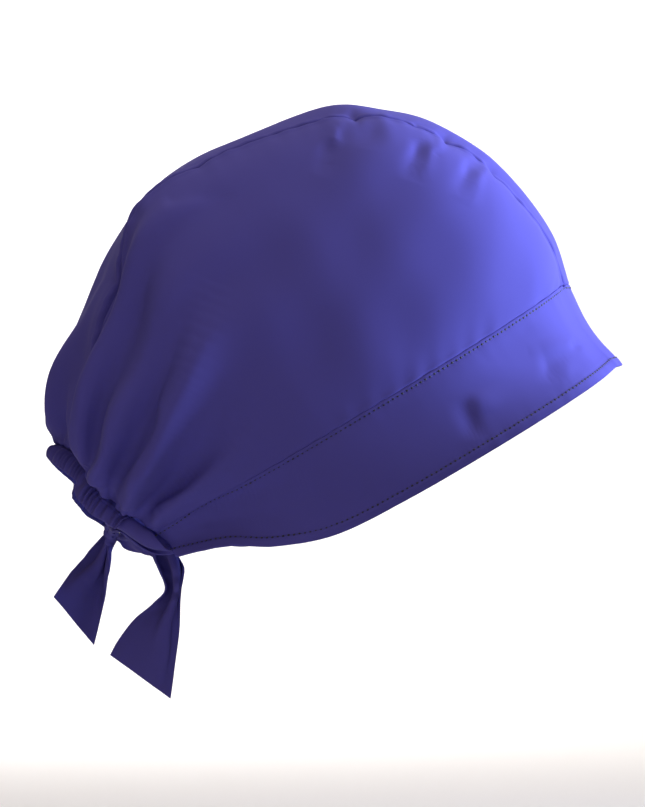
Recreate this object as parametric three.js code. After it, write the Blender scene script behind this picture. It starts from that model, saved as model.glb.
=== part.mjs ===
// A tie-back scrub cap in its worn form: two side panels and a crown strip of woven cloth, a deep front
// band, a ruched elastic casing across the nape and two ties that cross once below it.
// +X is the wearer's front, +Y the wearer's left, +Z up. The origin is where the top of the head bears on
// the inside of the crown.
import * as THREE from "three";

// Driving dimensions, in millimetres.
const CAP_LENGTH = 268; // the band's front corner to the back of the pouch
const CROWN_HEIGHT = 208; // the top of the crown down to the lowest point of the band
const CAP_BREADTH = 172; // across the band seam at the ears
const STRIP_WIDTH = 76; // the crown strip, seam to seam over the top
const STRIP_CROWN = 8; // how far the strip's middle stands above its seams
const BAND_RUN = 190; // the band seam from its front corner back to the casing, seen from above
const BAND_DEPTH = 43; // the front band, seam to hem
const CASING_DEPTH = 10.5; // the elastic casing, seam to lower edge
const CASING_SWELL = 1.2; // how far the casing's middle swells out
const RUCHE_HEIGHT = 0.7; // how far each small gather of the casing stands out
const BAND_SAG = 3.5; // how far the band seam hangs below a straight line at the ears
const BELLY = 7; // how far the side panels swell past a plain arc
const FOLD_DEPTH = 6; // the deepest fold that runs up from the casing
const PUCKER_DEPTH = 3.2; // the deepest dent along the strip's seams
const CASING_SAG = 6.5; // how far the casing's seam hangs below a straight line on each side
const NAPE_SAG = 12; // how far the strip's seams reach below its middle at the casing
const TIE_LENGTH = 150; // a tie from the band to its cut end
const TIE_WIDTH = 34; // a tie laid flat
const TIE_ROLL = 6; // the thickness of a tie where the crossing bunches it

// Cloth walls and the gap between sewn pieces, in millimetres.
const PANEL_WALL = 1.2;
const BAND_WALL = 1.6;
const CASING_WALL = 1.4;
const TIE_WALL = 1.4;
const SEAM_GAP = 0.3;

// Angles, in degrees, and counts.
const BAND_SLOPE = 31; // the band seam rises towards the forehead
const CASING_LEAN = 38; // the casing stands out to the back from straight down
const SIDE_SWEEP = 78; // how much of a quarter turn a side panel's arc takes
const RUCHES = 46; // small gathers along the whole casing
const ALONG_STEPS = 24; // even sections from the forehead to the casing
const FOLD_STEPS = 2; // columns of a side panel from one fold to the next
const STRIP_STEPS = 6; // across the crown strip
const BAND_STEPS = 4; // from the band seam to the hem
const TIE_STEPS = 30; // sections along a tie
const TIE_SIDES = 6; // across a tie's section

// Places along the crown, from the forehead (0) to the casing (1).
const FRONT_POINT = 0.02; // the side panel is a mere point in front of here
const FOLDS_START = 0.52; // the folds begin
const GATHER_START = 0.6; // the cloth begins to draw together
const SAG_START = 0.8; // the casing's seam begins to hang on the side panels
const NAPE_START = 0.85; // the strip's seams begin to reach down
const FOLDS_END = 0.93; // the casing's seam begins to press the folds flat

// Shares of a form.
const FOLDS_PRESSED = 0.7; // how much of a fold's height the casing's seam takes
const PUCKER_WIDENING = 2; // how much wider a pucker is at the far edge of its piece
const PUCKER_ONSET = 6; // how soon a pucker reaches its depth below the seam
const PUCKER_FLANK = 1.2; // how far a pucker's flanks lie from its middle, in spreads
const CLEAR_SHARE = 0.4; // how close an even section may lie to a pucker's, in even steps
const CASING_START = 0.34; // where the casing starts on a side panel's rear edge
const CASING_PANEL_SHARE = 0.22; // the share of the casing that runs along one side panel
const RUCHE_AT_SEAM = 0.15; // how far a gather has risen at the casing's seam
const CORNER_FADE = 4; // how soon the band's corner blends into its plan
const LIP_CURL = 4; // how sharply the band's rear lip curls
const NAPE_CURVE = 2; // how sharply the strip's seams reach down beside its middle
const FLAT_SECTION = 6; // how square a tie's section is where it lies open
const ROUND_SECTION = 2; // and where it is bunched
const SMALL_STEP = 0.01; // to either side, for a line's direction
const FINE_STEP = 0.004; // to either side, for a surface's direction
const KEYS_PER_MM = 1000; // corners closer than this are one

// The crown's middle line from the forehead (along 0) over the top to the casing (along 1).
// forward is a share of CAP_LENGTH from the origin, down a share of CROWN_HEIGHT below the crown's top, half
// a share of half the STRIP_WIDTH, crown a share of STRIP_CROWN, edge how far back along BAND_RUN the
// section's lower end stands, and belly a share of BELLY.
const CROWN = [
  { along: 0.0, forward: 0.386, down: 0.403, half: 0.74, crown: 0.9, edge: 0.0, belly: 0.0 },
  { along: 0.065, forward: 0.361, down: 0.293, half: 0.82, crown: 1.2, edge: 0.07, belly: 0.1 },
  { along: 0.122, forward: 0.312, down: 0.205, half: 0.88, crown: 1.3, edge: 0.13, belly: 0.3 },
  { along: 0.2, forward: 0.232, down: 0.101, half: 0.94, crown: 1.25, edge: 0.22, belly: 0.5 },
  { along: 0.29, forward: 0.122, down: 0.0285, half: 1.0, crown: 1.2, edge: 0.33, belly: 0.6 },
  { along: 0.38, forward: -0.0035, down: 0.0, half: 1.0, crown: 1.1, edge: 0.43, belly: 0.6 },
  { along: 0.47, forward: -0.128, down: 0.042, half: 1.0, crown: 1.0, edge: 0.53, belly: 0.6 },
  { along: 0.6, forward: -0.293, down: 0.142, half: 1.04, crown: 0.6, edge: 0.66, belly: 0.7 },
  { along: 0.69, forward: -0.383, down: 0.252, half: 1.08, crown: 0.1, edge: 0.74, belly: 0.9 },
  { along: 0.79, forward: -0.449, down: 0.408, half: 1.08, crown: 1.2, edge: 0.82, belly: 1.1 },
  { along: 0.89, forward: -0.501, down: 0.563, half: 1.02, crown: 1.6, edge: 0.9, belly: 1.3 },
  { along: 0.96, forward: -0.523, down: 0.691, half: 0.92, crown: 1.7, edge: 0.96, belly: 1.0 },
  { along: 1.0, forward: -0.512, down: 0.768, half: 0.82, crown: 1.6, edge: 1.0, belly: 0.0 },
];

// The band seam in plan: back is a share of BAND_RUN from the front corner, side a share of half of
// CAP_BREADTH.
const SEAM_PLAN = [
  { back: 0.0, side: 0.33 },
  { back: 0.05, side: 0.55 },
  { back: 0.12, side: 0.72 },
  { back: 0.25, side: 0.885 },
  { back: 0.4, side: 0.975 },
  { back: 0.55, side: 1.0 },
  { back: 0.7, side: 0.955 },
  { back: 0.85, side: 0.82 },
  { back: 1.0, side: 0.58 },
];

// The band below its seam: depth is a share of BAND_DEPTH, lean its slant from straight down in degrees,
// flare how far the hem stands out, hollow how far the middle is drawn in and lip how far the rear edge
// curls, in shares of BAND_DEPTH.
const BAND = [
  { back: 0.0, depth: 1.04, lean: 31, flare: 0.06, hollow: 0.06, lip: 0.0 },
  { back: 0.3, depth: 1.02, lean: 31, flare: 0.03, hollow: 0.02, lip: 0.0 },
  { back: 0.55, depth: 0.99, lean: 31, flare: 0.0, hollow: 0.0, lip: 0.0 },
  { back: 0.7, depth: 0.92, lean: 31, flare: 0.0, hollow: 0.02, lip: 0.02 },
  { back: 0.81, depth: 0.71, lean: 32, flare: 0.0, hollow: 0.07, lip: 0.05 },
  { back: 0.88, depth: 0.49, lean: 34, flare: 0.0, hollow: 0.1, lip: 0.06 },
  { back: 0.945, depth: 0.37, lean: 37, flare: 0.0, hollow: 0.1, lip: 0.06 },
  { back: 1.0, depth: 0.32, lean: 43, flare: 0.0, hollow: 0.06, lip: 0.03 },
];

// Folds that fan out from the casing, as rows up the side panel. casing and open say how far up the panel a
// fold lies at the casing and where the cloth opens out, and height is a ridge or a valley as a share of
// FOLD_DEPTH.
const FOLDS = [
  { casing: 0.0, open: 0.0, height: 0.0 },
  { casing: 0.07, open: 0.1, height: 0.5 },
  { casing: 0.15, open: 0.21, height: -0.75 },
  { casing: 0.27, open: 0.34, height: 0.95 },
  { casing: 0.36, open: 0.44, height: -0.5 },
  { casing: 0.48, open: 0.55, height: 0.55 },
  { casing: 0.61, open: 0.67, height: -0.85 },
  { casing: 0.8, open: 0.77, height: 0.7 },
  { casing: 0.92, open: 0.88, height: -0.7 },
  { casing: 1.0, open: 1.0, height: 0.0 },
];

// Dents where the strip's seams draw up: depth is a share of PUCKER_DEPTH, spread in shares of the crown's
// length and reach how far down the side panel the dent runs.
const PUCKERS = [
  { along: 0.175, depth: 0.9, spread: 0.014, reach: 0.13 },
  { along: 0.255, depth: 1.0, spread: 0.014, reach: 0.14 },
  { along: 0.3, depth: 0.4, spread: 0.008, reach: 0.06 },
  { along: 0.385, depth: 1.0, spread: 0.014, reach: 0.14 },
  { along: 0.595, depth: 0.6, spread: 0.02, reach: 0.12 },
  { along: 0.785, depth: 0.9, spread: 0.016, reach: 0.08 },
];

// The casing from its end (place 0) to the middle of the nape (place 0.5): depth is a share of CASING_DEPTH.
const CASING = [
  { place: 0.0, depth: 0.72 },
  { place: 0.07, depth: 0.89 },
  { place: 0.14, depth: 1.06 },
  { place: 0.3, depth: 1.01 },
  { place: 0.4, depth: 0.88 },
  { place: 0.5, depth: 0.79 },
];

// The ties, each from its own rear end of the band. back and down are shares of TIE_LENGTH from there, over
// is how far it has crossed to the other side's end, width a share of TIE_WIDTH, bunch from 0 flat to 1
// bunched, slant how the width runs from level (0) to upright (90), turn how far it faces away, in degrees.
const TIE_TO_LEFT = [
  { along: 0.0, back: 0.004, down: 0.0, over: 0.0, width: 0.38, bunch: 0.1, slant: 47, turn: 0 },
  { along: 0.06, back: 0.053, down: -0.01, over: 0.02, width: 0.32, bunch: 0.4, slant: 85, turn: 0 },
  { along: 0.13, back: 0.105, down: -0.037, over: 0.06, width: 0.25, bunch: 0.7, slant: 112, turn: 0 },
  { along: 0.2, back: 0.127, down: -0.045, over: 0.16, width: 0.22, bunch: 0.85, slant: 100, turn: 0 },
  { along: 0.32, back: 0.122, down: -0.055, over: 0.35, width: 0.2, bunch: 0.9, slant: 90, turn: 0 },
  { along: 0.44, back: 0.117, down: -0.052, over: 0.5, width: 0.2, bunch: 0.9, slant: 90, turn: 0 },
  { along: 0.54, back: 0.136, down: -0.045, over: 0.62, width: 0.23, bunch: 0.9, slant: 84, turn: 0 },
  { along: 0.62, back: 0.146, down: -0.014, over: 0.7, width: 0.27, bunch: 0.8, slant: 66, turn: 0 },
  { along: 0.7, back: 0.188, down: 0.061, over: 0.73, width: 0.42, bunch: 0.4, slant: 40, turn: 10 },
  { along: 0.82, back: 0.225, down: 0.142, over: 0.74, width: 0.68, bunch: 0.08, slant: 36, turn: 20 },
  { along: 1.0, back: 0.26, down: 0.242, over: 0.74, width: 0.98, bunch: 0.0, slant: 48, turn: 25 },
];
const TIE_TO_RIGHT = [
  { along: 0.0, back: 0.004, down: 0.0, over: 0.0, width: 0.38, bunch: 0.1, slant: 47, turn: 0 },
  { along: 0.06, back: 0.05, down: -0.01, over: 0.02, width: 0.3, bunch: 0.4, slant: 85, turn: 0 },
  { along: 0.12, back: 0.08, down: -0.031, over: 0.1, width: 0.24, bunch: 0.7, slant: 104, turn: 0 },
  { along: 0.2, back: 0.077, down: -0.031, over: 0.22, width: 0.2, bunch: 0.85, slant: 96, turn: 0 },
  { along: 0.28, back: 0.064, down: -0.04, over: 0.34, width: 0.2, bunch: 0.9, slant: 90, turn: 0 },
  { along: 0.37, back: 0.054, down: -0.033, over: 0.46, width: 0.2, bunch: 0.9, slant: 80, turn: 0 },
  { along: 0.46, back: 0.041, down: -0.016, over: 0.6, width: 0.24, bunch: 0.9, slant: 60, turn: 0 },
  { along: 0.53, back: 0.002, down: 0.016, over: 0.7, width: 0.29, bunch: 0.9, slant: 30, turn: 0 },
  { along: 0.6, back: -0.024, down: 0.07, over: 0.75, width: 0.34, bunch: 0.9, slant: 6, turn: 0 },
  { along: 0.67, back: -0.037, down: 0.138, over: 0.755, width: 0.22, bunch: 0.8, slant: 2, turn: 0 },
  { along: 0.73, back: -0.019, down: 0.186, over: 0.755, width: 0.36, bunch: 0.4, slant: 7, turn: 0 },
  { along: 0.8, back: 0.015, down: 0.245, over: 0.755, width: 0.59, bunch: 0.1, slant: 16, turn: 0 },
  { along: 0.89, back: 0.045, down: 0.325, over: 0.755, width: 0.8, bunch: 0.0, slant: 25, turn: 0 },
  { along: 1.0, back: 0.067, down: 0.404, over: 0.755, width: 0.98, bunch: 0.0, slant: 36, turn: 0 },
];

const CLOTH = 0x4a45c8;
const HEAD_CENTRE = new THREE.Vector3(0, 0, -CROWN_HEIGHT / 2);
const CASING_CENTRE = new THREE.Vector3(0, 0, -CROWN_HEIGHT);

const radians = THREE.MathUtils.degToRad;

const evenPlaces = (steps, from = 0, to = 1) =>
  Array.from({ length: steps + 1 }, (_, i) => from + ((to - from) * i) / steps);

// The value of a table's column at a place, on a smooth curve through its rows.
function between(rows, place, column, at) {
  const last = rows.length - 1;
  let i = 0;
  while (i < last - 1 && at > rows[i + 1][place]) i++;
  const slope = (a, b) => (rows[b][column] - rows[a][column]) / (rows[b][place] - rows[a][place]);
  const width = rows[i + 1][place] - rows[i][place];
  const t = THREE.MathUtils.clamp((at - rows[i][place]) / width, 0, 1);
  const before = slope(Math.max(i - 1, 0), i + 1);
  const after = slope(i, Math.min(i + 2, last));
  const [a, b] = [rows[i][column], rows[i + 1][column]];
  const rest = 1 - t;
  return (
    a * rest * rest * (1 + 2 * t) + before * width * t * rest * rest +
    b * t * t * (3 - 2 * t) - after * width * t * t * rest
  );
}

const crownRow = (along, column) => between(CROWN, "along", column, along);

// The crown's middle line, on its outer face.
function ridge(along) {
  const x = CAP_LENGTH * crownRow(along, "forward");
  const z = PANEL_WALL - CROWN_HEIGHT * crownRow(along, "down");
  return new THREE.Vector3(x, 0, z);
}

// The direction straight out of the middle line, in the plane of symmetry.
function ridgeOut(along) {
  const from = ridge(Math.max(along - SMALL_STEP, 0));
  const run = ridge(Math.min(along + SMALL_STEP, 1)).sub(from).normalize();
  return new THREE.Vector3(run.z, 0, -run.x);
}

// How far the strip's seams are drawn in. distance runs from 0 at the seam to 1 at the piece's far edge.
function pucker(along, distance) {
  let depth = 0;
  for (const dent of PUCKERS) {
    const across = (along - dent.along) / (dent.spread * (1 + PUCKER_WIDENING * distance));
    depth += dent.depth * Math.exp(-across * across) * Math.exp(-distance / dent.reach);
  }
  return PUCKER_DEPTH * depth;
}

// The crown strip. across runs from -1 at the right seam to 1 at the left one.
function stripPoint(along, across) {
  const half = (STRIP_WIDTH / 2) * crownRow(along, "half");
  const drop = STRIP_CROWN * crownRow(along, "crown") * across * across;
  const dent = pucker(along, (1 - Math.abs(across)) / 2);
  const out = ridgeOut(along);
  const sag = NAPE_SAG * THREE.MathUtils.smoothstep(along, NAPE_START, 1) * Math.abs(across) ** NAPE_CURVE;
  const point = ridge(along).addScaledVector(out, -drop - dent);
  point.x += out.z * -sag;
  point.z += out.x * sag;
  point.y = half * across;
  return point;
}

// The band seam on the right side. back runs from 0 at the front corner to 1 at the casing.
function bandSeam(back) {
  const corner = stripPoint(0, -1);
  const run = BAND_RUN * back;
  const share = between(SEAM_PLAN, "back", "side", back);
  const side = (CAP_BREADTH / 2) * share;
  const offset = corner.y + (CAP_BREADTH / 2) * SEAM_PLAN[0].side;
  const sag = BAND_SAG * (share - SEAM_PLAN[0].side);
  return new THREE.Vector3(
    corner.x - run,
    offset * (1 - back) ** CORNER_FADE - side,
    corner.z - run * Math.tan(radians(BAND_SLOPE)) - sag,
  );
}

// A right side panel as a plain arc. rise runs from 0 at the band seam to 1 at the strip's seam.
function sideArc(along, rise) {
  const foot = bandSeam(crownRow(along, "edge"));
  const head = stripPoint(along, -1);
  const sweep = radians(SIDE_SWEEP);
  const lift = Math.sin(rise * sweep) / Math.sin(sweep);
  const reach = (Math.cos(rise * sweep) - Math.cos(sweep)) / (1 - Math.cos(sweep));
  const point = foot.clone().lerp(head, lift);
  point.y = head.y + (foot.y - head.y) * reach;
  const sag = CASING_SAG * THREE.MathUtils.smoothstep(along, SAG_START, 1) * Math.sin(Math.PI * rise);
  const chord = head.sub(foot).setY(0).normalize();
  point.x += chord.x < 0 ? -chord.z * sag : 0;
  point.z += chord.x < 0 ? chord.x * sag : 0;
  return point;
}

// The direction straight out of a surface, by small steps along its two ways.
function outOf(surface, a, b, inside) {
  const [a0, a1] = [Math.max(a - FINE_STEP, 0), Math.min(a + FINE_STEP, 1)];
  const [b0, b1] = [Math.max(b - FINE_STEP, 0), Math.min(b + FINE_STEP, 1)];
  const along = surface(a1, b).sub(surface(a0, b));
  const across = surface(a, b1).sub(surface(a, b0));
  const out = along.cross(across).normalize();
  return out.dot(surface(a, b).sub(inside)) < 0 ? out.negate() : out;
}

// How far up the panel a column of cloth lies at this section. gather is its place along the casing.
function riseOf(along, gather) {
  const gathered = THREE.MathUtils.smoothstep(along, GATHER_START, 1);
  return THREE.MathUtils.lerp(between(FOLDS, "casing", "open", gather), gather, gathered);
}

// How far the folds lift or sink a side panel. They grow towards the casing and are drawn small at its seam.
function fold(along, gather) {
  const grown = THREE.MathUtils.smoothstep(along, FOLDS_START, FOLDS_END);
  const pressed = FOLDS_PRESSED * THREE.MathUtils.smoothstep(along, FOLDS_END, 1);
  return FOLD_DEPTH * between(FOLDS, "casing", "height", gather) * grown * (1 - pressed);
}

// The right side panel with its belly, folds and puckers.
function sidePoint(along, gather) {
  const rise = riseOf(along, gather);
  const point = sideArc(along, rise);
  const out = outOf(sideArc, Math.max(along, FRONT_POINT), rise, HEAD_CENTRE);
  const swell = BELLY * crownRow(along, "belly") * Math.sin(Math.PI * rise);
  const dent = pucker(along, 1 - rise) * Math.min(1, PUCKER_ONSET * (1 - rise));
  return point.addScaledVector(out, swell + fold(along, gather) - dent);
}

// Section places from the forehead to the casing: even steps, with a few more round each pucker.
function alongPlaces() {
  const flanks = [-PUCKER_FLANK, 0, PUCKER_FLANK];
  const dents = PUCKERS.flatMap(({ along, spread }) => flanks.map((flank) => along + flank * spread));
  const closest = CLEAR_SHARE / ALONG_STEPS;
  const clear = (place) => dents.every((dent) => Math.abs(dent - place) > closest);
  return [...evenPlaces(ALONG_STEPS).filter(clear), ...dents].sort((a, b) => a - b);
}

// Column places along the casing: the same number from each fold to the next.
const gatherPlaces = () => [
  0,
  ...FOLDS.slice(1).flatMap(({ casing }, i) => evenPlaces(FOLD_STEPS, FOLDS[i].casing, casing).slice(1)),
];

// A grid of points, one row for each place along and one column for each place across.
const gridOf = (surface, rows, columns) => rows.map((a) => columns.map((b) => surface(a, b)));

// The outward direction at each point of a grid, as the mean over the faces round it.
function normalsOf(grid, inside) {
  const sums = grid.map((row) => row.map(() => new THREE.Vector3()));
  for (let i = 0; i + 1 < grid.length; i++) {
    for (let j = 0; j + 1 < grid[i].length; j++) {
      const one = grid[i + 1][j + 1].clone().sub(grid[i][j]);
      const two = grid[i][j + 1].clone().sub(grid[i + 1][j]);
      const face = one.cross(two);
      for (const [p, q] of [[i, j], [i + 1, j], [i, j + 1], [i + 1, j + 1]]) sums[p][q].add(face);
    }
  }
  const flip = sums[1][1].dot(grid[1][1].clone().sub(inside)) < 0 ? -1 : 1;
  for (const row of sums) for (const normal of row) normal.normalize().multiplyScalar(flip);
  return sums;
}

// Draws a grid's outer points in by half the seam gap, so that sewn neighbours don't touch.
function drawIn(grid) {
  const pulled = grid.map((row) => row.map((point) => point.clone()));
  const pull = (i, j, k, l) => {
    const way = grid[k][l].clone().sub(grid[i][j]);
    if (way.length() > SEAM_GAP) pulled[i][j].addScaledVector(way.normalize(), SEAM_GAP / 2);
  };
  const [rows, columns] = [grid.length - 1, grid[0].length - 1];
  for (let j = 0; j <= columns; j++) {
    pull(0, j, 1, j);
    pull(rows, j, rows - 1, j);
  }
  for (let i = 0; i <= rows; i++) {
    pull(i, 0, i, 1);
    pull(i, columns, i, columns - 1);
  }
  return pulled;
}

// A closed wall: the outer points, the inner ones a thickness behind them, and a rim all round.
function wall(grid, normals, thickness, name) {
  const [rows, columns] = [grid.length, grid[0].length];
  const points = [];
  for (const row of grid) points.push(...row);
  grid.forEach((row, i) =>
    row.forEach((point, j) => points.push(point.clone().addScaledVector(normals[i][j], -thickness))),
  );
  const outer = (i, j) => i * columns + j;
  const inner = (i, j) => rows * columns + i * columns + j;
  const quads = [];
  for (let i = 0; i + 1 < rows; i++) {
    for (let j = 0; j + 1 < columns; j++) {
      quads.push([outer(i, j), outer(i + 1, j), outer(i + 1, j + 1), outer(i, j + 1)]);
      quads.push([inner(i, j), inner(i, j + 1), inner(i + 1, j + 1), inner(i + 1, j)]);
    }
  }
  for (let i = 0; i + 1 < rows; i++) {
    quads.push([outer(i, 0), inner(i, 0), inner(i + 1, 0), outer(i + 1, 0)]);
    const j = columns - 1;
    quads.push([outer(i, j), outer(i + 1, j), inner(i + 1, j), inner(i, j)]);
  }
  for (let j = 0; j + 1 < columns; j++) {
    quads.push([outer(0, j), outer(0, j + 1), inner(0, j + 1), inner(0, j)]);
    const i = rows - 1;
    quads.push([outer(i, j), inner(i, j), inner(i, j + 1), outer(i, j + 1)]);
  }
  return meshOf(points, quads, name);
}

// A mesh from points and four-sided faces. Faces that shrink to nothing at a corner are left out, and all
// of them are turned round if they enclose a negative volume.
function meshOf(points, quads, name) {
  const keys = new Map();
  const merged = points.map((point) => {
    const key = point.toArray().map((value) => Math.round(value * KEYS_PER_MM)).join();
    if (!keys.has(key)) keys.set(key, point);
    return keys.get(key);
  });
  const corners = [];
  let volume = 0;
  for (const [a, b, c, d] of quads) {
    for (const triangle of [[a, b, c], [a, c, d]]) {
      const [p, q, r] = triangle.map((index) => merged[index]);
      if (p === q || q === r || r === p) continue;
      corners.push([p, q, r]);
      volume += p.dot(q.clone().cross(r));
    }
  }
  const positions = [];
  for (const [p, q, r] of corners) {
    for (const point of volume < 0 ? [p, r, q] : [p, q, r]) positions.push(...point.toArray());
  }
  const geometry = new THREE.BufferGeometry();
  geometry.setAttribute("position", new THREE.Float32BufferAttribute(positions, 3));
  geometry.computeVertexNormals();
  const material = new THREE.MeshStandardMaterial({ color: CLOTH, roughness: 0.75, metalness: 0 });
  const mesh = new THREE.Mesh(geometry, material);
  mesh.name = name;
  return mesh;
}

const across = ({ x, y, z }) => new THREE.Vector3(x, -y, z);
const mirrored = (grid) => grid.map((row) => row.map(across));

// The band below one point of its seam. drop runs from 0 at the seam to 1 at the hem.
function bandPoint(seam, along, back, drop) {
  const row = (column) => between(BAND, "back", column, back);
  const lean = radians(row("lean"));
  const down = new THREE.Vector3(Math.sin(lean), 0, -Math.cos(lean));
  const out = along.clone().cross(down).normalize();
  if (out.dot(seam.clone().sub(HEAD_CENTRE)) < 0) out.negate();
  const hollow = row("hollow") * Math.sin(Math.PI * drop);
  const bow = row("flare") * drop * drop - hollow + row("lip") * drop ** LIP_CURL;
  const point = seam.clone().addScaledVector(down, BAND_DEPTH * row("depth") * drop);
  return point.addScaledVector(out, BAND_DEPTH * bow);
}

// The band from its left rear end round the front to its right rear end.
function bandGrid(alongs, sideGrid, stripGrid) {
  const right = alongs.map((along, i) => ({ point: sideGrid[i][0], back: crownRow(along, "edge") }));
  const front = stripGrid[0].map((point) => ({ point, back: 0 }));
  const left = right.map(({ point, back }) => ({ point: across(point), back }));
  const seam = [...left.reverse(), ...front.reverse().slice(1, -1), ...right];
  return seam.map(({ point, back }, i) => {
    const before = seam[Math.max(i - 1, 0)].point;
    const after = seam[Math.min(i + 1, seam.length - 1)].point;
    const run = after.clone().sub(before).normalize();
    return evenPlaces(BAND_STEPS).map((drop) => bandPoint(point, run, back, drop));
  });
}

// The casing's seam with the panels and the strip, from its right end (0) round the back to its left end
// (1). It starts a little above the band, where the ties leave room for it.
function casingSeam(place) {
  const mirror = place > 0.5;
  const right = mirror ? 1 - place : place;
  const t = right / CASING_PANEL_SHARE;
  const onPanel = t < 1;
  const point = onPanel
    ? sidePoint(1, THREE.MathUtils.lerp(CASING_START, 1, t))
    : stripPoint(1, -1 + (right - CASING_PANEL_SHARE) / (0.5 - CASING_PANEL_SHARE));
  return mirror ? across(point) : point;
}

// A point of the casing. drop runs from 0 at its seam to 1 at its lower edge.
function casingPoint(place, drop) {
  const before = casingSeam(Math.max(place - SMALL_STEP, 0));
  const run = casingSeam(Math.min(place + SMALL_STEP, 1)).sub(before).normalize();
  const lean = radians(CASING_LEAN);
  const way = new THREE.Vector3(-Math.sin(lean), 0, -Math.cos(lean));
  way.addScaledVector(run, -run.dot(way)).normalize();
  const out = run.clone().cross(way).normalize();
  const raised = Math.sin(Math.PI * THREE.MathUtils.lerp(RUCHE_AT_SEAM, 1, drop));
  const gather = RUCHE_HEIGHT * Math.cos(2 * Math.PI * RUCHES * place) * raised;
  const swell = CASING_SWELL * Math.sin(Math.PI * drop);
  const depth = CASING_DEPTH * between(CASING, "place", "depth", Math.min(place, 1 - place));
  const seat = SEAM_GAP / 2;
  return casingSeam(place).addScaledVector(way, depth * drop + seat).addScaledVector(out, swell + gather);
}

// One closed section of a tie: a flat oval, thin where the tie lies open and thick where it is bunched.
function tieSection(centre, breadth, through, half, thickness, power) {
  const upper = [];
  const lower = [];
  for (let k = 0; k <= TIE_SIDES; k++) {
    const s = -Math.cos((Math.PI * k) / TIE_SIDES);
    const rise = (thickness / 2) * (1 - Math.abs(s) ** power) ** (1 / power);
    const place = centre.clone().addScaledVector(breadth, half * s);
    upper.push(place.clone().addScaledVector(through, rise));
    if (k > 0 && k < TIE_SIDES) lower.unshift(place.clone().addScaledVector(through, -rise));
  }
  return [...upper, ...lower];
}

// A tie as a closed loft through its table's rows, from its start at the right end of the band. side is 1
// for the right tie, and -1 for the left one, which is the loft's mirror image.
function tieLoft(rows, start, name, side) {
  const at = (t, column) => between(rows, "along", column, t);
  const centre = (t) =>
    new THREE.Vector3(
      start.x - TIE_LENGTH * at(t, "back"),
      start.y * (1 - 2 * at(t, "over")),
      start.z - TIE_LENGTH * at(t, "down"),
    );
  const places = evenPlaces(TIE_STEPS);
  const sections = places.map((t) => {
    const before = centre(Math.max(t - SMALL_STEP, 0));
    const run = centre(Math.min(t + SMALL_STEP, 1)).sub(before).normalize();
    const slant = radians(at(t, "slant"));
    const turn = radians(at(t, "turn"));
    const breadth = new THREE.Vector3(Math.cos(slant) * Math.cos(turn), Math.sin(turn), -Math.sin(slant));
    breadth.normalize();
    const through = breadth.clone().cross(run).normalize();
    const bunch = at(t, "bunch");
    const half = (TIE_WIDTH / 2) * at(t, "width");
    const thickness = THREE.MathUtils.lerp(TIE_WALL, TIE_ROLL, bunch);
    const power = THREE.MathUtils.lerp(FLAT_SECTION, ROUND_SECTION, bunch);
    return tieSection(centre(t), breadth, through, half, thickness, power);
  });
  const points = sections.flat().map((point) => (side < 0 ? across(point) : point));
  const round = sections[0].length;
  const quads = [];
  for (let i = 0; i + 1 < sections.length; i++) {
    for (let k = 0; k < round; k++) {
      const next = (k + 1) % round;
      quads.push([i * round + k, (i + 1) * round + k, (i + 1) * round + next, i * round + next]);
    }
  }
  for (const [base, flip] of [[0, false], [(sections.length - 1) * round, true]]) {
    for (let k = 0; k < TIE_SIDES; k++) {
      const below = (j) => (j === 0 ? base : j === TIE_SIDES ? base + TIE_SIDES : base + round - j);
      const quad = [base + k, base + k + 1, below(k + 1), below(k)];
      quads.push(flip ? quad.reverse() : quad);
    }
  }
  return meshOf(points, quads, name);
}

// The outer faces of the panels and the strip, and their outward directions.
const alongs = alongPlaces();
const sideGrid = gridOf(sidePoint, alongs, gatherPlaces());
const stripGrid = gridOf(stripPoint, alongs, evenPlaces(STRIP_STEPS, -1, 1));
const sideNormals = normalsOf(sideGrid, HEAD_CENTRE);
const stripNormals = normalsOf(stripGrid, HEAD_CENTRE);

// Sewn edges share one direction, so that the walls on both sides of a seam stay clear of each other.
stripNormals.forEach((row, i) => {
  const shared = sideNormals[i].at(-1).add(row[0]).normalize();
  row[0].copy(shared);
  row[STRIP_STEPS].copy(across(shared));
});
for (const normal of sideNormals[0]) normal.copy(stripNormals[0][0]);

const panel = drawIn(sideGrid);
const bandOuter = bandGrid(alongs, sideGrid, stripGrid);
const casingOuter = gridOf(casingPoint, evenPlaces(2 * RUCHES), [0, 0.5, 1]);
// A tie starts from the middle of the band's rear end.
const tieStart = bandOuter.at(-1)[0].clone().lerp(bandOuter.at(-1)[BAND_STEPS], 0.5);

const cap = new THREE.Group();
cap.add(wall(panel, sideNormals, PANEL_WALL, "side_panel_right"));
cap.add(wall(mirrored(panel), mirrored(sideNormals), PANEL_WALL, "side_panel_left"));
cap.add(wall(drawIn(stripGrid), stripNormals, PANEL_WALL, "crown_strip"));
cap.add(wall(drawIn(bandOuter), normalsOf(bandOuter, HEAD_CENTRE), BAND_WALL, "front_band"));
cap.add(wall(drawIn(casingOuter), normalsOf(casingOuter, CASING_CENTRE), CASING_WALL, "back_casing"));
cap.add(tieLoft(TIE_TO_LEFT, tieStart, "tie_right", 1));
cap.add(tieLoft(TIE_TO_RIGHT, tieStart, "tie_left", -1));

export default cap;
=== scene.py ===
import math

import bmesh
import bpy
import numpy as np
from mathutils import Matrix, Vector


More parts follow.
